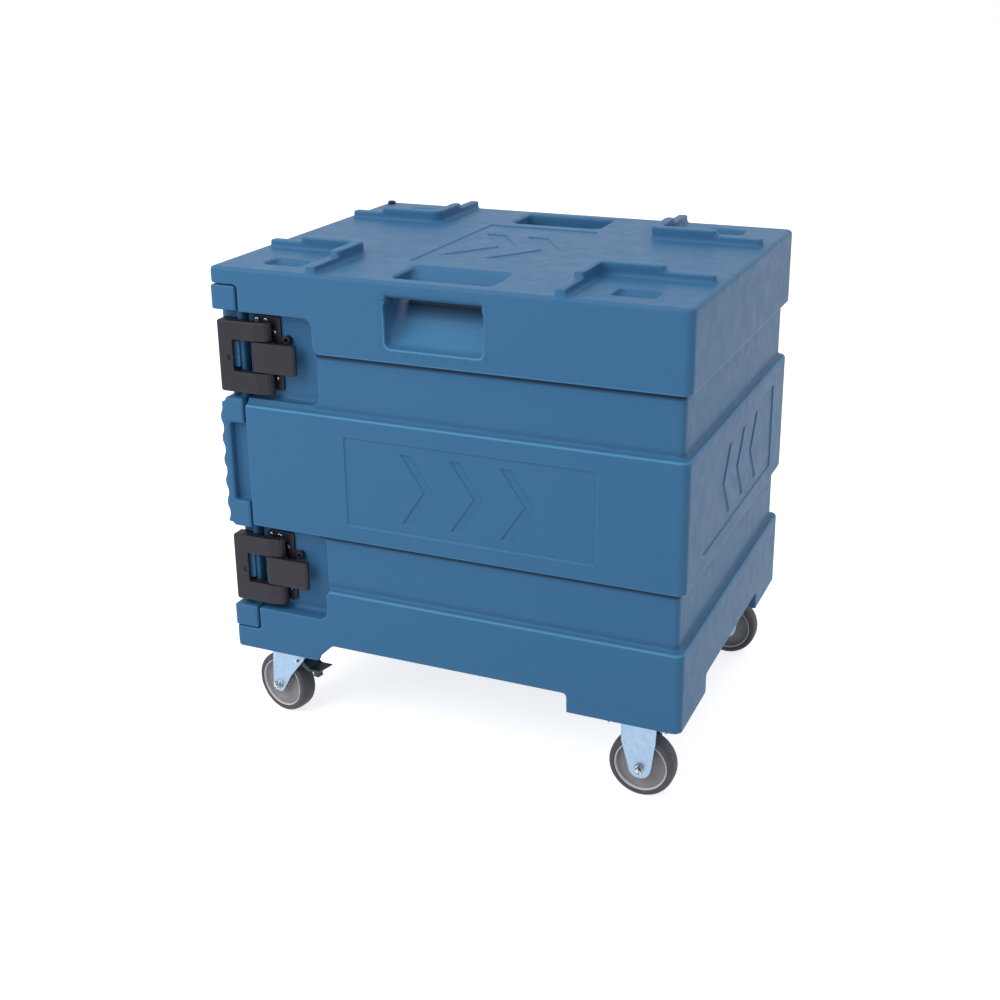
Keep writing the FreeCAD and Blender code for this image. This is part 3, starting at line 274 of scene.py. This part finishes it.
def polyethylene():
    """Rotomoulded skin: blotchy slate blue, fine orange peel, painted highlights on convex edges and painted shade
    in creases.
    """
    look = Look("blue_polyethylene", (0.038, 0.139, 0.282), 0.45, specular=0.16)
    look.tint(look.spread(look.noise(7, 2), 0.35, 0.7, 0.0, 0.5), (0.042, 0.145, 0.290))
    look.tint(look.spread(look.noise(1000, 2, 0.7), 0.58, 0.76, 0.0, 0.28), (0.08, 0.20, 0.37))
    look.tint(look.spread(look.noise(1300, 2, 0.7), 0.26, 0.42, 0.3, 0.0), (0.014, 0.075, 0.18))
    edge_light_and_shade = look.edge_mask_for_painted_light(0.003, 0.02, 0.22, 1.0)
    # painted highlight along the convex edges, then painted shade in the concave creases
    look.tint(look.product(edge_light_and_shade, look.curved(0.502, 0.520, 0.0, 0.85)), (0.095, 0.29, 0.52))
    look.tint(look.product(edge_light_and_shade, look.curved(0.47, 0.497, 0.7, 0.0)), (0.014, 0.06, 0.14))

    x, along, up = look.axes()
    across = look.maths("ABSOLUTE", x)
    proud = look.largest(look.spread(across, 0.2775, 0.280), look.spread(along, 0.3575, 0.360))
    band_edges(look, across, along, up, proud)
    flash = hand_openings(look, across, along, up, proud)

    look.roughen(look.spread(look.noise(45, 2), 0.3, 0.7, 0.42, 0.50))
    look.bump(flash, 0.0004, 0.8)
    look.bump(look.noise(520, 2, 0.6), 0.00012, 0.35)
    look.bump(look.noise(1700, 1, 0.5), 0.00004, 0.3)
    return look.done(0.0016)


def nylon():
    """Charcoal glass-filled nylon with a satin grain and a little dust."""
    look = Look("charcoal_nylon", (0.014, 0.0135, 0.022), 0.42, specular=0.3)
    look.tint(look.spread(look.noise(70, 4), 0.42, 0.75, 0.0, 0.5), (0.024, 0.023, 0.032))
    look.roughen(look.spread(look.noise(220, 3), 0.3, 0.7, 0.36, 0.52))
    look.bump(look.noise(1500, 2, 0.6), 0.00005, 0.6)
    return look.done(0.0012)


def plated(name, colour, rough, grain, oily=0.0):
    look = Look(name, colour, rough, metallic=1.0)
    darker = tuple(part * 0.72 for part in colour)
    look.tint(look.spread(look.noise(120, 4, 0.6), 0.45, 0.8, 0.0, 0.6), darker)
    paler = tuple(min(1, part * 1.15) for part in colour)
    look.tint(look.spread(look.cells(grain), 0.2, 0.8, 0.0, 0.22), paler)
    look.roughen(look.spread(look.noise(300, 3, stretch=(1, 1, 6)), 0.3, 0.7, rough - 0.06, rough + 0.1))
    look.bump(look.noise(700, 3, stretch=(1, 1, 5)), 0.00004, 0.5)
    if oily:
        look.tint(look.spread(look.noise(330, 2), 0.47, 0.56, 0.0, oily), (0.05, 0.075, 0.09))
    return look.done(0.0008)


def rubber(name, colour, rough):
    look = Look(name, colour, rough, specular=0.35)
    look.tint(look.spread(look.noise(55, 4), 0.4, 0.75, 0.0, 0.6), tuple(part * 1.45 for part in colour))
    look.tint(look.spread(look.noise(800, 2), 0.3, 0.45, 0.35, 0.0), tuple(part * 0.6 for part in colour))
    look.roughen(look.spread(look.noise(90, 3), 0.3, 0.7, rough - 0.08, rough + 0.08))
    look.bump(look.noise(900, 2), 0.00008, 0.6)
    return look.done(0.001)


def polypropylene():
    """Grey wheel centre, with a painted highlight on the thin lip beside the tyre."""
    look = Look("grey_polypropylene", (0.235, 0.230, 0.248), 0.48, specular=0.45)
    look.tint(look.spread(look.noise(60, 3), 0.4, 0.75, 0.0, 0.5), (0.30, 0.29, 0.30))
    # painted highlight on the wheel centre's lip, from the lip attribute
    look.tint(look.attribute("lip"), (0.62, 0.61, 0.64))
    look.bump(look.noise(800, 2), 0.00006, 0.5)
    return look.done(0.001)


def foam():
    look = Look("rigid_foam", (0.78, 0.70, 0.46), 0.85)
    look.tint(look.spread(look.cells(500), 0.1, 0.5, 0.6, 0.0), (0.6, 0.5, 0.3))
    look.bump(look.cells(500), 0.0004, 0.7)
    return look.done()


finish = {
    "body_blue": polyethylene(),
    "foam": foam(),
    "seal": rubber("black_silicone", (0.022, 0.022, 0.025), 0.5),
    "vent": rubber("black_polyamide", (0.03, 0.03, 0.034), 0.45),
    "black_nylon": nylon(),
    "steel": plated("bright_steel", (0.70, 0.71, 0.73), 0.24, 900, 0.95),
    "zinc": plated("blue_white_zinc", (0.33, 0.455, 0.60), 0.36, 350),
    "bearing": plated("plain_steel", (0.45, 0.45, 0.46), 0.32, 700),
    "tyre_rubber": rubber("grey_tyre", (0.066, 0.062, 0.082), 0.58),
    "wheel_core": polypropylene(),
    "pedal": rubber("black_coated_steel", (0.016, 0.026, 0.03), 0.35),
}
slot_of = {part["node"]: part["material_slot"] for part in frame["record"]["subparts"]}
for name, thing in nodes.items():
    thing.data.materials.clear()
    thing.data.materials.append(finish[slot_of[name]])


# ---------------------------------------------------------------- rounded mouldings
def placed(name, data):
    """A new object in the scene."""
    thing = bpy.data.objects.new(name, data)
    bpy.context.scene.collection.objects.link(thing)
    return thing


def meshed(work, name):
    """The mesh of a bmesh, which is freed."""
    mesh = bpy.data.meshes.new(name)
    work.to_mesh(mesh)
    work.free()
    return mesh


def joined_groups(edges):
    """Sharp edges gathered into the chains that they form."""
    left, groups = set(edges), []
    while left:
        stack, group = [left.pop()], []
        while stack:
            edge = stack.pop()
            group.append(edge)
            for vert in edge.verts:
                for other in vert.link_edges:
                    if other in left:
                        left.remove(other)
                        stack.append(other)
        groups.append(group)
    return groups


def main_skin(work):
    """Drop the closed void behind a double wall, which nothing can see."""
    left, groups = set(work.verts), []
    while left:
        stack, group = [left.pop()], []
        while stack:
            vert = stack.pop()
            group.append(vert)
            for edge in vert.link_edges:
                other = edge.other_vert(vert)
                if other in left:
                    left.remove(other)
                    stack.append(other)
        groups.append(group)
    groups.sort(key=len)
    for group in groups[:-1]:
        bmesh.ops.delete(work, geom=group, context="VERTS")


def evaluated(thing, name):
    """The mesh with its modifiers applied, on the same object."""
    graph = bpy.context.evaluated_depsgraph_get()
    mesh = bpy.data.meshes.new_from_object(thing.evaluated_get(graph), depsgraph=graph)
    mesh.name = name
    thing.modifiers.clear()
    thing.data = mesh
    return thing


hole_round = 0.0003


def rounded(node, name, size, loop, shape=None):
    """A copy of a CAD solid with its edges rounded, less round the holes smaller than loop."""
    work = bmesh.new()
    work.from_mesh(nodes[node].data)
    bmesh.ops.remove_doubles(work, verts=work.verts, dist=2e-6)
    bmesh.ops.dissolve_limit(work, angle_limit=math.radians(0.5), use_dissolve_boundaries=False,
                             verts=work.verts, edges=work.edges)
    if shape:
        shape(work)
    weight = work.edges.layers.float.new("bevel_weight_edge")
    sharp = [edge for edge in work.edges if edge.is_manifold and edge.calc_face_angle(0) > math.radians(24)]
    for group in joined_groups(sharp):
        points = [vert.co for edge in group for vert in edge.verts]
        reach = max(max(p[axis] for p in points) - min(p[axis] for p in points) for axis in range(3))
        for edge in group:
            edge[weight] = 1.0
            if reach < loop:
                edge[weight] = hole_round / size
    thing = placed(name, meshed(work, name))
    bevel = thing.modifiers.new("round", "BEVEL")
    bevel.limit_method = "WEIGHT"
    bevel.offset_type = "OFFSET"
    bevel.width = size
    bevel.segments = 3
    bevel.use_clamp_overlap = False
    bevel.miter_outer = "MITER_ARC"
    weighted = thing.modifiers.new("weighted", "WEIGHTED_NORMAL")
    weighted.weight = 100
    thing.data.shade_smooth()
    return evaluated(thing, name)


def melted(node, name, voxel, rounds, share, flush=(), tools=(), shape=None):
    """A copy of a CAD solid as one smooth moulding, with all its edges flowing.

    Engravings too fine for the voxels are filled flush first and cut again by the tools."""
    work = bmesh.new()
    work.from_mesh(nodes[node].data)
    bmesh.ops.remove_doubles(work, verts=work.verts, dist=2e-6)
    main_skin(work)
    for vert in work.verts:
        for axis, level, lows, highs in flush:
            if all(low <= part <= high for low, part, high in zip(lows, vert.co, highs)):
                vert.co[axis] = level
    thing = placed(name, meshed(work, name))
    remesh = thing.modifiers.new("remesh", "REMESH")
    remesh.mode = "VOXEL"
    remesh.voxel_size = voxel
    smooth = thing.modifiers.new("smooth", "SMOOTH")
    smooth.factor = 0.5
    smooth.iterations = rounds
    evaluated(thing, name)
    if shape:
        spots = np.empty(len(thing.data.vertices) * 3, np.float32)
        thing.data.vertices.foreach_get("co", spots)
        shape(*spots.reshape(-1, 3).T)
        thing.data.vertices.foreach_set("co", spots)
    thin = thing.modifiers.new("thin", "DECIMATE")
    thin.ratio = share
    evaluated(thing, name)
    for tool in tools:
        cutter = thing.modifiers.new("engrave", "BOOLEAN")
        cutter.operation = "DIFFERENCE"
        cutter.solver = "EXACT"
        cutter.object = tool
        evaluated(thing, name)
        bpy.data.objects.remove(tool)
    thing.data.shade_smooth()
    thing.data.set_sharp_from_angle(angle=math.radians(38))
    weighted = thing.modifiers.new("weighted", "WEIGHTED_NORMAL")
    weighted.keep_sharp = True
    weighted.weight = 60
    return evaluated(thing, name)


def grown(points, distance):
    """A closed outline moved outwards by a distance, with mitred corners."""
    area = sum(a[0] * b[1] - b[0] * a[1] for a, b in zip(points, points[1:] + points[:1]))
    moved = []
    for index, point in enumerate(points):
        one = (Vector(point) - Vector(points[index - 1])).normalized()
        two = (Vector(points[(index + 1) % len(points)]) - Vector(point)).normalized()
        normal = Vector((one.y + two.y, -one.x - two.x)).normalized()
        reach = math.copysign(distance, distance * area) / max(0.3, normal.dot(Vector((one.y, -one.x))))
        moved.append(Vector(point) + normal * reach)
    return moved


def pocket(work, points, top, floor, slope, place):
    """A prism with sloped sides over a closed outline: the tool that sinks a flat shape."""
    outer, inner = grown(points, slope), grown(points, -slope)
    rings = [[work.verts.new(place(spot.x, spot.y, level)) for spot in ring]
             for ring, level in ((outer, 2 * top - floor), (inner, floor))]
    work.faces.new(rings[0])
    work.faces.new(rings[1])
    for index in range(len(points)):
        work.faces.new((rings[0][index - 1], rings[0][index], rings[1][index], rings[1][index - 1]))


def frame_points(x, y, width, height):
    """A rectangle with rounded corners."""
    corner, steps = 0.006, 4
    points = []
    for sx, sy, start in ((1, -1, -90), (1, 1, 0), (-1, 1, 90), (-1, -1, 180)):
        for step in range(steps + 1):
            angle = math.radians(start + 90 * step / steps)
            points.append((x + sx * (width / 2 - corner) + corner * math.cos(angle),
                           y + sy * (height / 2 - corner) + corner * math.sin(angle)))
    return points


def chevron_points(x, y, half_span, arm):
    tip = x + half_span * 0.66
    return [(x, y + half_span), (tip, y), (x, y - half_span), (x + arm, y - half_span),
            (tip + arm, y), (x + arm, y + half_span)]


def finished_tool(work, name):
    bmesh.ops.recalc_face_normals(work, faces=work.faces)
    tool = placed(name, meshed(work, name))
    tool.hide_render = True
    return tool


def dress(thing, look, body, *replaced):
    """Finish, material slot, body and the CAD nodes that the piece stands for."""
    thing.data.materials.clear()
    thing.data.materials.append(finish[look])
    for polygon in thing.data.polygons:
        polygon.material_index = 0
    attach(thing, body)
    if replaced:
        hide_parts(*replaced)


side, back = cad_box[1].x, cad_box[1].y
front = cad_box[0].y
roof = 0.745
sunk, slope = 0.0019, 0.0021
panel_middle, panel_height = 0.439, 0.140
wall_chevrons = [(0.0781 * step - 0.105, panel_height / 2 - 0.016, 0.0175) for step in range(3)]
roof_chevrons = [(0.071 * step - 0.075, 0.085, 0.035) for step in range(2)]


def faces_of_body():
    """Each engraved face of the body.

    A row tells how the face's own across, up and out map to the carrier, then its panel's middle,
    width and height, and its chevrons."""
    return [(lambda u, v, d: (side + d, u, v), 0.041, panel_middle, 0.392, panel_height, wall_chevrons),
            (lambda u, v, d: (-side - d, u, v), 0.041, panel_middle, 0.392, panel_height, wall_chevrons),
            (lambda u, v, d: (u, back + d, v), 0, panel_middle, 0.398, panel_height, wall_chevrons),
            (lambda u, v, d: (v, u, roof + d), -0.012, 0, 0.190, 0.300, roof_chevrons)]


def face_of_door():
    return [(lambda u, v, d: (u, front - d, v), 0, panel_middle, 0.398, panel_height, wall_chevrons)]


def engravers(faces, name):
    """One tool sinks the panels, and a second one the chevrons in them."""
    panels, marks = bmesh.new(), bmesh.new()
    for place, across, up, width, height, chevrons in faces:
        pocket(panels, frame_points(across, up, width, height), 0, -sunk, slope, place)
        for at, half_span, arm in chevrons:
            pocket(marks, chevron_points(across + at, up, half_span, arm), -sunk, -2 * sunk, slope, place)
    return [finished_tool(panels, name + "_panels"), finished_tool(marks, name + "_marks")]


body_flush = [(0, side, (side - 0.002, -0.17, 0.36), (side + 1, 0.25, 0.52)),
              (0, -side, (-side - 1, -0.17, 0.36), (0.002 - side, 0.25, 0.52)),
              (1, back, (-0.21, back - 0.002, 0.36), (0.21, 1, 0.52)),
              (2, roof, (-0.16, -0.12, roof - 0.002), (0.16, 0.09, roof + 0.0001))]
door_flush = [(1, front, (-0.21, -1, 0.36), (0.21, front + 0.002, 0.52))]
# (height, depth) along the floor of a hand pocket's chute, in the CAD solid and in the photo
scoop_was = [(0.646, 0.004), (0.654, 0.026), (0.674, 0.062), (0.704, 0.092), (0.746, 0.112)]
scoop_now = [(0.646, 0.004), (0.654, 0.018), (0.674, 0.040), (0.704, 0.056), (0.746, 0.112)]


def body_shape(x, y, z):
    """Rolls the grip bars' lower edges, draws in the chutes behind them, lets the rims of the feet down."""
    roll, bar_low, bar_half = 0.013, 0.720, 0.0745
    chute_half, chute_low, chute_high = 0.084, 0.647, 0.742
    bar_from, bar_depth = 0.714, 0.036
    foot_high, foot_drop = 0.1385, 0.0036
    middle = np.abs(y - opening_y)
    for sign in (1, -1):
        u, v = sign * x - (side - roll), bar_low + roll - z
        reach = np.hypot(u, v)
        turn = (u > 0) & (v > 0) & (v < roll + 0.004) & (middle < bar_half) & (reach > roll)
        x[turn] = sign * (side - roll + u[turn] * roll / reach[turn])
        z[turn] = bar_low + roll - v[turn] * roll / reach[turn]
    depth = side - np.abs(x)
    was = np.interp(z, *zip(*scoop_was))
    chute = (middle < chute_half) & (z > chute_low) & (z < chute_high)
    chute &= (depth < was + 0.007) & (depth > 0)
    chute &= (z < bar_from) | (depth > bar_depth)
    share = np.interp(z, *zip(*scoop_now)) / was
    x[chute] = np.sign(x[chute]) * (side - depth[chute] * share[chute])
    rim = (z < foot_high) & ((np.abs(x) > side - 0.0065) | (np.abs(y) > back - 0.011))
    z[rim] -= foot_drop


body_voxel = 0.0027
door_voxel = body_voxel * 0.85
dress(melted("body_shell", "body_moulding", body_voxel, 3, 0.2, body_flush,
             engravers(faces_of_body(), "body"), body_shape),
      "body_blue", "carrier", "body_shell")
dress(melted("door_shell", "door_moulding", door_voxel, 3, 0.22, door_flush,
             engravers(face_of_door(), "door")),
      "body_blue", "door", "door_shell")


# ---------------------------------------------------------------- latches
def curled(level):
    """Squares the ends of the latch arms and bends them in past a crease, both arms a little lower."""
    inner, tall = 0.024, 0.031
    root, thick = 0.269, 0.014
    crease, end_radius, end_start = -0.296, 0.011, -0.2825
    bend_at, bend_to = (crease, -0.279, -0.2745, -0.2715), (thick, 0.0108, 0.0075, 0.0030)
    near_inner, near_root = inner - 0.0005, root + 0.0005

    def shape(x, y, z):
        past = np.clip(y - end_start, 0, end_radius - 0.0001)
        lost = end_radius - np.sqrt(end_radius ** 2 - past ** 2)
        up = z - level
        for sign in (1, -1):
            arm = sign * up > near_inner
            z[arm] = level + sign * (inner + (sign * up[arm] - inner) * tall / (tall - lost[arm]))
        up = z - level
        high, low = up > near_inner, up < -near_inner
        outer = (x > near_root) & (high | low) & (y > crease)
        bent = np.interp(y[outer], bend_at, bend_to)
        x[outer] = root + (x[outer] - root) * bent / (thick - lost[outer])
        y[y > crease] = crease + (y[y > crease] - crease) * 0.94
        z[high] = level + 0.0232 + (up[high] - inner) * 0.94
        z[low] = level - 0.0252 + (up[low] + inner) * 1.06
    return shape


def tapered(pivot):
    """Draws in the paddle's knuckle behind its pivot, beside the slot for the lug."""
    clear, slot_half = 0.0066, 0.0054

    def shape(x, y, z):
        over, along = x - pivot[0], y - pivot[1]
        reach = np.hypot(over, along)
        behind = (along < 0) & (reach > clear) & (np.abs(z - pivot[2]) > slot_half)
        share = 1 - 0.7 * (1 - clear / reach[behind]) * -along[behind] / reach[behind]
        x[behind] = pivot[0] + over[behind] * share
        y[behind] = pivot[1] + along[behind] * share
    return shape


def cropped(level):
    """Takes a little off the lower end of the latch plate."""
    lower_end, cut = level - 0.050, 0.0055

    def shape(work):
        for vert in work.verts:
            if vert.co.z < lower_end:
                vert.co.z += cut
    return shape


def block(work, low, high):
    """Adds a box from one corner to the opposite one."""
    low, high = Vector(low), Vector(high)
    place = Matrix.Translation((low + high) / 2) @ Matrix.Diagonal((*(high - low), 1))
    bmesh.ops.create_cube(work, size=1, matrix=place)


def arm_tools(level):
    """Hollows the back of the hook bar, and sinks the round mark in its face."""
    hollow, mark = bmesh.new(), bmesh.new()
    block(hollow, (0.25, -0.3475, level - 0.0222), (0.2795, -0.32, level + 0.0208))
    bmesh.ops.create_cone(mark, cap_ends=True, segments=40, radius1=0.0044, radius2=0.0052, depth=0.0040)
    place = Matrix.Translation((0.2831, -0.3395, level - 0.0045)) @ Matrix.Rotation(math.radians(90), 4, "Y")
    bmesh.ops.transform(mark, matrix=place, verts=mark.verts)
    return [finished_tool(hollow, "bar_hollow"), finished_tool(mark, "round_mark")]


def keeper(name, level):
    """The block behind the hook bar, grown out of the door's ridge."""
    work = bmesh.new()
    block(work, (0.2570, -0.3462, level - 0.0205), (0.2742, -0.3300, level + 0.0190))
    upright = [edge for edge in work.edges if abs(edge.verts[0].co.z - edge.verts[1].co.z) > 0.01]
    bmesh.ops.bevel(work, geom=upright, offset=0.0016, segments=3, affect="EDGES")
    return placed(name, meshed(work, name))


for level in ("upper", "lower"):
    pivot = joints[f"latch_{level}_lever"]["pos_m"]
    height = pivot[2]
    link, lever, base = f"latch_link_{level}", f"latch_lever_{level}", f"latch_base_{level}"
    dress(keeper(f"keeper_{level}", height), "body_blue", "door")
    arms = melted(link, f"latch_arms_{level}", 0.0008, 4, 0.3, tools=arm_tools(height), shape=curled(height))
    dress(arms, "black_nylon", f"link_{level}", link)
    paddle = melted(lever, f"latch_paddle_{level}", 0.0007, 4, 0.3, shape=tapered(pivot))
    dress(paddle, "black_nylon", f"lever_{level}", lever)
    plate = rounded(base, f"latch_plate_{level}", 0.0006, loop=0.014, shape=cropped(height))
    dress(plate, "black_nylon", "carrier", base)


# ---------------------------------------------------------------- casters
def turned(name, outline, place, steps=128, flats=0.0, lip=()):
    """A closed outline of (along, radius) points turned about the axle.

    It is clipped to a hexagon if it has flats, and the points in lip carry the attribute for the painted
    highlight."""
    work = bmesh.new()
    lip_highlight = work.verts.layers.float.new("lip")
    rings = []
    for step in range(steps):
        angle = 2 * math.pi * step / steps
        off_flat = (angle + math.pi / 6) % (math.pi / 3) - math.pi / 6
        most = flats / math.cos(off_flat) if flats else 1
        ring = []
        for index, (along, radius) in enumerate(outline):
            reach = min(radius, most)
            vert = work.verts.new((along, reach * math.cos(angle), reach * math.sin(angle)))
            vert[lip_highlight] = 1.0 if index in lip else 0.0
            ring.append(vert)
        rings.append(ring)
    for step in range(steps):
        here, ahead = rings[step], rings[(step + 1) % steps]
        for index in range(len(outline)):
            work.faces.new((here[index - 1], ahead[index - 1], ahead[index], here[index]))
    bmesh.ops.recalc_face_normals(work, faces=work.faces)
    bmesh.ops.transform(work, matrix=place, verts=work.verts)
    mesh = meshed(work, name)
    mesh.shade_smooth()
    mesh.set_sharp_from_angle(angle=math.radians(32))
    return placed(name, mesh)


def mirrored(side_points):
    """Both sides of a wheel's outline from the points of one side."""
    return side_points + [(-along, radius) for along, radius in reversed(side_points)]


def folded(place, cuts, top, inward, lean=0.0):
    """The legs of a fork, pressed inwards beyond the fold lines and set a little forward above the axle."""
    forward = (place.inverted().to_3x3() @ Vector((0, -1, 0))).y
    legs = (0.015, 0.022)
    plate_low, plate_edge, narrower = 0.0795, 0.032, 0.0035
    lean_from, lean_over = 0.006, 0.03

    def shape(work):
        bmesh.ops.transform(work, matrix=place.inverted(), verts=work.verts)
        planes = [((0, cut, 0), (0, 1, 0)) for cut in cuts] + [((0, 0, top), (0, 0, 1))]
        for spot, normal in planes:
            bmesh.ops.bisect_plane(work, geom=work.verts[:] + work.edges[:] + work.faces[:],
                                   plane_co=spot, plane_no=normal)
        for vert in work.verts:
            spot = vert.co
            below = spot.z < top + 0.0001
            if below and legs[0] < abs(spot.x) < legs[1]:
                spot.x -= math.copysign(inward(spot.y), spot.x)
            if spot.z > plate_low and abs(spot.x) > plate_edge:
                spot.x -= math.copysign(narrower, spot.x)
            if lean and below:
                spot.y += forward * lean * min(1.0, max(0.0, spot.z - lean_from) / lean_over)
        bmesh.ops.transform(work, matrix=place, verts=work.verts)
    return shape


def swivel_press(along):
    """How far a swivel fork's leg is pressed in, by where it is along the fork."""
    return 0.0028 * max(0.0, (along - 0.0149) / 0.0446)


def rigid_press(along):
    return 0.0026 * max(0.0, (abs(along) - 0.0185) / 0.0085) ** 1.5


tyre_side = [(0.0134, 0.0402), (0.0143, 0.0410), (0.0149, 0.0425), (0.0150, 0.0440), (0.0147, 0.0457),
             (0.0138, 0.0473), (0.0122, 0.0485), (0.0098, 0.0493), (0.0065, 0.0498), (0.0025, 0.0500)]
core_side = [(0.0150, 0.00615), (0.0150, 0.0128), (0.0147, 0.0139), (0.0139, 0.0146), (0.0085, 0.0156),
             (0.0062, 0.0170), (0.0050, 0.0190), (0.0045, 0.0220), (0.0045, 0.0280), (0.0052, 0.0320),
             (0.0072, 0.0350), (0.0105, 0.0372), (0.0132, 0.0381), (0.0141, 0.0386), (0.0144, 0.0393),
             (0.0141, 0.0399), (0.0132, 0.0402)]
# points of the wheel centre's outline that get the painted highlight
lips = (12, 13, 14, 15)
all_lips = lips + tuple(2 * len(core_side) - 1 - index for index in lips)
swivel_cuts = (0.0149, 0.035, 0.058)
rigid_cuts = [sign * at for sign in (-1, 1) for at in (0.0185, 0.0205, 0.0225, 0.0245, 0.0262)]
nut_outline = [(0.0206, 0.0041), (0.0206, 0.0096), (0.0216, 0.0098), (0.0221, 0.0094), (0.0224, 0.0066),
               (0.0228, 0.0074), (0.0260, 0.0076), (0.0266, 0.0066), (0.0266, 0.0041)]
thread = [(0.0266 + 0.0004 * step, 0.0040 if step % 2 else 0.0036) for step in range(7)]
bolt_outline = [(-0.0263, 0.0), (-0.0263, 0.0055), (-0.0258, 0.0066), (-0.0252, 0.0076), (-0.0222, 0.0076),
                (-0.0216, 0.0066), (-0.0213, 0.0090), (-0.0206, 0.0094), (-0.0206, 0.0040),
                *thread, (0.0293, 0.0034), (0.0295, 0.0028), (0.0292, 0.0014), (0.0290, 0.0)]

for corner in ("front_right", "front_left", "rear_right", "rear_left"):
    spin = joints[f"{corner}_wheel_spin"]
    axle = Vector(spin["axis"])
    place = Matrix.Translation(spin["pos_m"]) @ Matrix.Rotation(math.atan2(axle.y, axle.x), 4, "Z")
    swivel = corner.startswith("front")
    wheel, holder = f"{corner}_wheel", f"{corner}_swivel" if swivel else "carrier"
    tread = turned(f"{corner}_tread", mirrored(tyre_side), place)
    dress(tread, "tyre_rubber", wheel, f"{corner}_tyre")
    centre = turned(f"{corner}_centre", mirrored(core_side), place, lip=all_lips)
    dress(centre, "wheel_core", wheel, f"{corner}_wheel_core")
    nut = turned(f"{corner}_flange_nut", nut_outline, place, 96, flats=0.0065)
    dress(nut, "steel", holder, f"{corner}_axle_nut")
    bolt = turned(f"{corner}_hex_bolt", bolt_outline, place, 96)
    dress(bolt, "steel", holder, f"{corner}_axle_bolt")
    if swivel:
        fold = folded(place, swivel_cuts, 0.0605, swivel_press)
        fork = rounded(f"{corner}_fork", f"{corner}_swivel_fork", 0.0007, loop=0.02, shape=fold)
        dress(fork, "zinc", holder, f"{corner}_fork")
        pedal = rounded(f"{corner}_brake_pedal", f"{corner}_pedal_plate", 0.0008, loop=0.012)
        dress(pedal, "pedal", f"{corner}_pedal", f"{corner}_brake_pedal")
    else:
        fold = folded(place, rigid_cuts, 0.0795, rigid_press, lean=0.0032)
        bracket = rounded(f"{corner}_bracket", f"{corner}_fork_plates", 0.0007, loop=0.012, shape=fold)
        dress(bracket, "zinc", holder, f"{corner}_bracket")


# ---------------------------------------------------------------- stage, light and camera
def plain_rays(tree):
    """1 on camera, glossy and transmission rays, which see the plain white paper."""
    path = tree.nodes.new("ShaderNodeLightPath")
    total = path.outputs["Is Camera Ray"]
    for kind in ("Is Glossy Ray", "Is Transmission Ray"):
        either = tree.nodes.new("ShaderNodeMath")
        either.operation = "MAXIMUM"
        tree.links.new(total, either.inputs[0])
        tree.links.new(path.outputs[kind], either.inputs[1])
        total = either.outputs[0]
    return total


def mixed(tree, first, second):
    """The first shader, and the second on plain rays."""
    mix = tree.nodes.new("ShaderNodeMixShader")
    tree.links.new(plain_rays(tree), mix.inputs[0])
    tree.links.new(first, mix.inputs[1])
    tree.links.new(second, mix.inputs[2])
    return mix.outputs[0]


def stage_floor():
    reach = 6.0
    corners = [(-reach, -reach, 0), (reach, -reach, 0), (reach, reach, 0), (-reach, reach, 0)]
    mesh = bpy.data.meshes.new("floor")
    mesh.from_pydata(corners, [], [(0, 1, 2, 3)])
    paper = bpy.data.materials.new("pale_floor")
    paper.use_nodes = True
    tree = paper.node_tree
    shader = tree.nodes["Principled BSDF"]
    shader.inputs["Base Color"].default_value = (0.8, 0.8, 0.8, 1)
    shader.inputs["Roughness"].default_value = 0.9
    shader.inputs["Specular IOR Level"].default_value = 0.1
    glow = tree.nodes.new("ShaderNodeEmission")
    glow.inputs["Strength"].default_value = 0.72
    both = tree.nodes.new("ShaderNodeAddShader")
    tree.links.new(shader.outputs[0], both.inputs[0])
    tree.links.new(glow.outputs[0], both.inputs[1])
    shown = mixed(tree, shader.outputs[0], both.outputs[0])
    tree.links.new(shown, tree.nodes["Material Output"].inputs["Surface"])
    mesh.materials.append(paper)
    placed("floor", mesh)


def stage_world():
    world = bpy.data.worlds.new("studio")
    bpy.context.scene.world = world
    world.use_nodes = True
    tree = world.node_tree
    room = tree.nodes["Background"]
    room.inputs["Color"].default_value = (1, 1, 1, 1)
    room.inputs["Strength"].default_value = 0.62
    white = tree.nodes.new("ShaderNodeBackground")
    white.inputs["Color"].default_value = (1, 1, 1, 1)
    white.inputs["Strength"].default_value = 1.0
    shown = mixed(tree, room.outputs[0], white.outputs[0])
    tree.links.new(shown, tree.nodes["World Output"].inputs["Surface"])


def lamp(name, at, target, width, height, power):
    data = bpy.data.lights.new(name, "AREA")
    data.shape = "RECTANGLE"
    data.size, data.size_y = width, height
    data.energy = power
    thing = placed(name, data)
    thing.location = at
    thing.rotation_euler = (Vector(target) - Vector(at)).to_track_quat("-Z", "Y").to_euler()


def stage_camera():
    """The photo's view, solved on the corners of the box."""
    azimuth, elevation, roll = math.radians(23.370), math.radians(19.204), math.radians(-0.547)
    place = Vector((1.9837, 0.8403, 1.1897))
    level = math.cos(elevation)
    ahead = Vector((-level * math.cos(azimuth), -level * math.sin(azimuth), -math.sin(elevation)))
    right = ahead.cross(Vector((0, 0, 1))).normalized()
    above = right.cross(ahead)
    right, above = (math.cos(roll) * right + math.sin(roll) * above,
                    -math.sin(roll) * right + math.cos(roll) * above)
    data = bpy.data.cameras.new("camera")
    data.sensor_width = 36
    data.lens = 51.34
    data.shift_x, data.shift_y = -0.0074, -0.0649
    data.clip_start, data.clip_end = 0.05, 40
    camera = placed("camera", data)
    turn = Matrix((right, above, -ahead)).transposed()
    camera.matrix_world = Matrix.Translation(place) @ turn.to_4x4()
    bpy.context.scene.camera = camera


stage_floor()
stage_world()
stage_camera()
lamp("key", (2.2, -1.2, 2.2), (0, 0, 0.4), 2.0, 2.0, 44)
lamp("top", (0.2, 0.3, 2.8), (0, 0, 0.6), 2.4, 2.4, 12)
bpy.context.scene.view_settings.view_transform = "Standard"
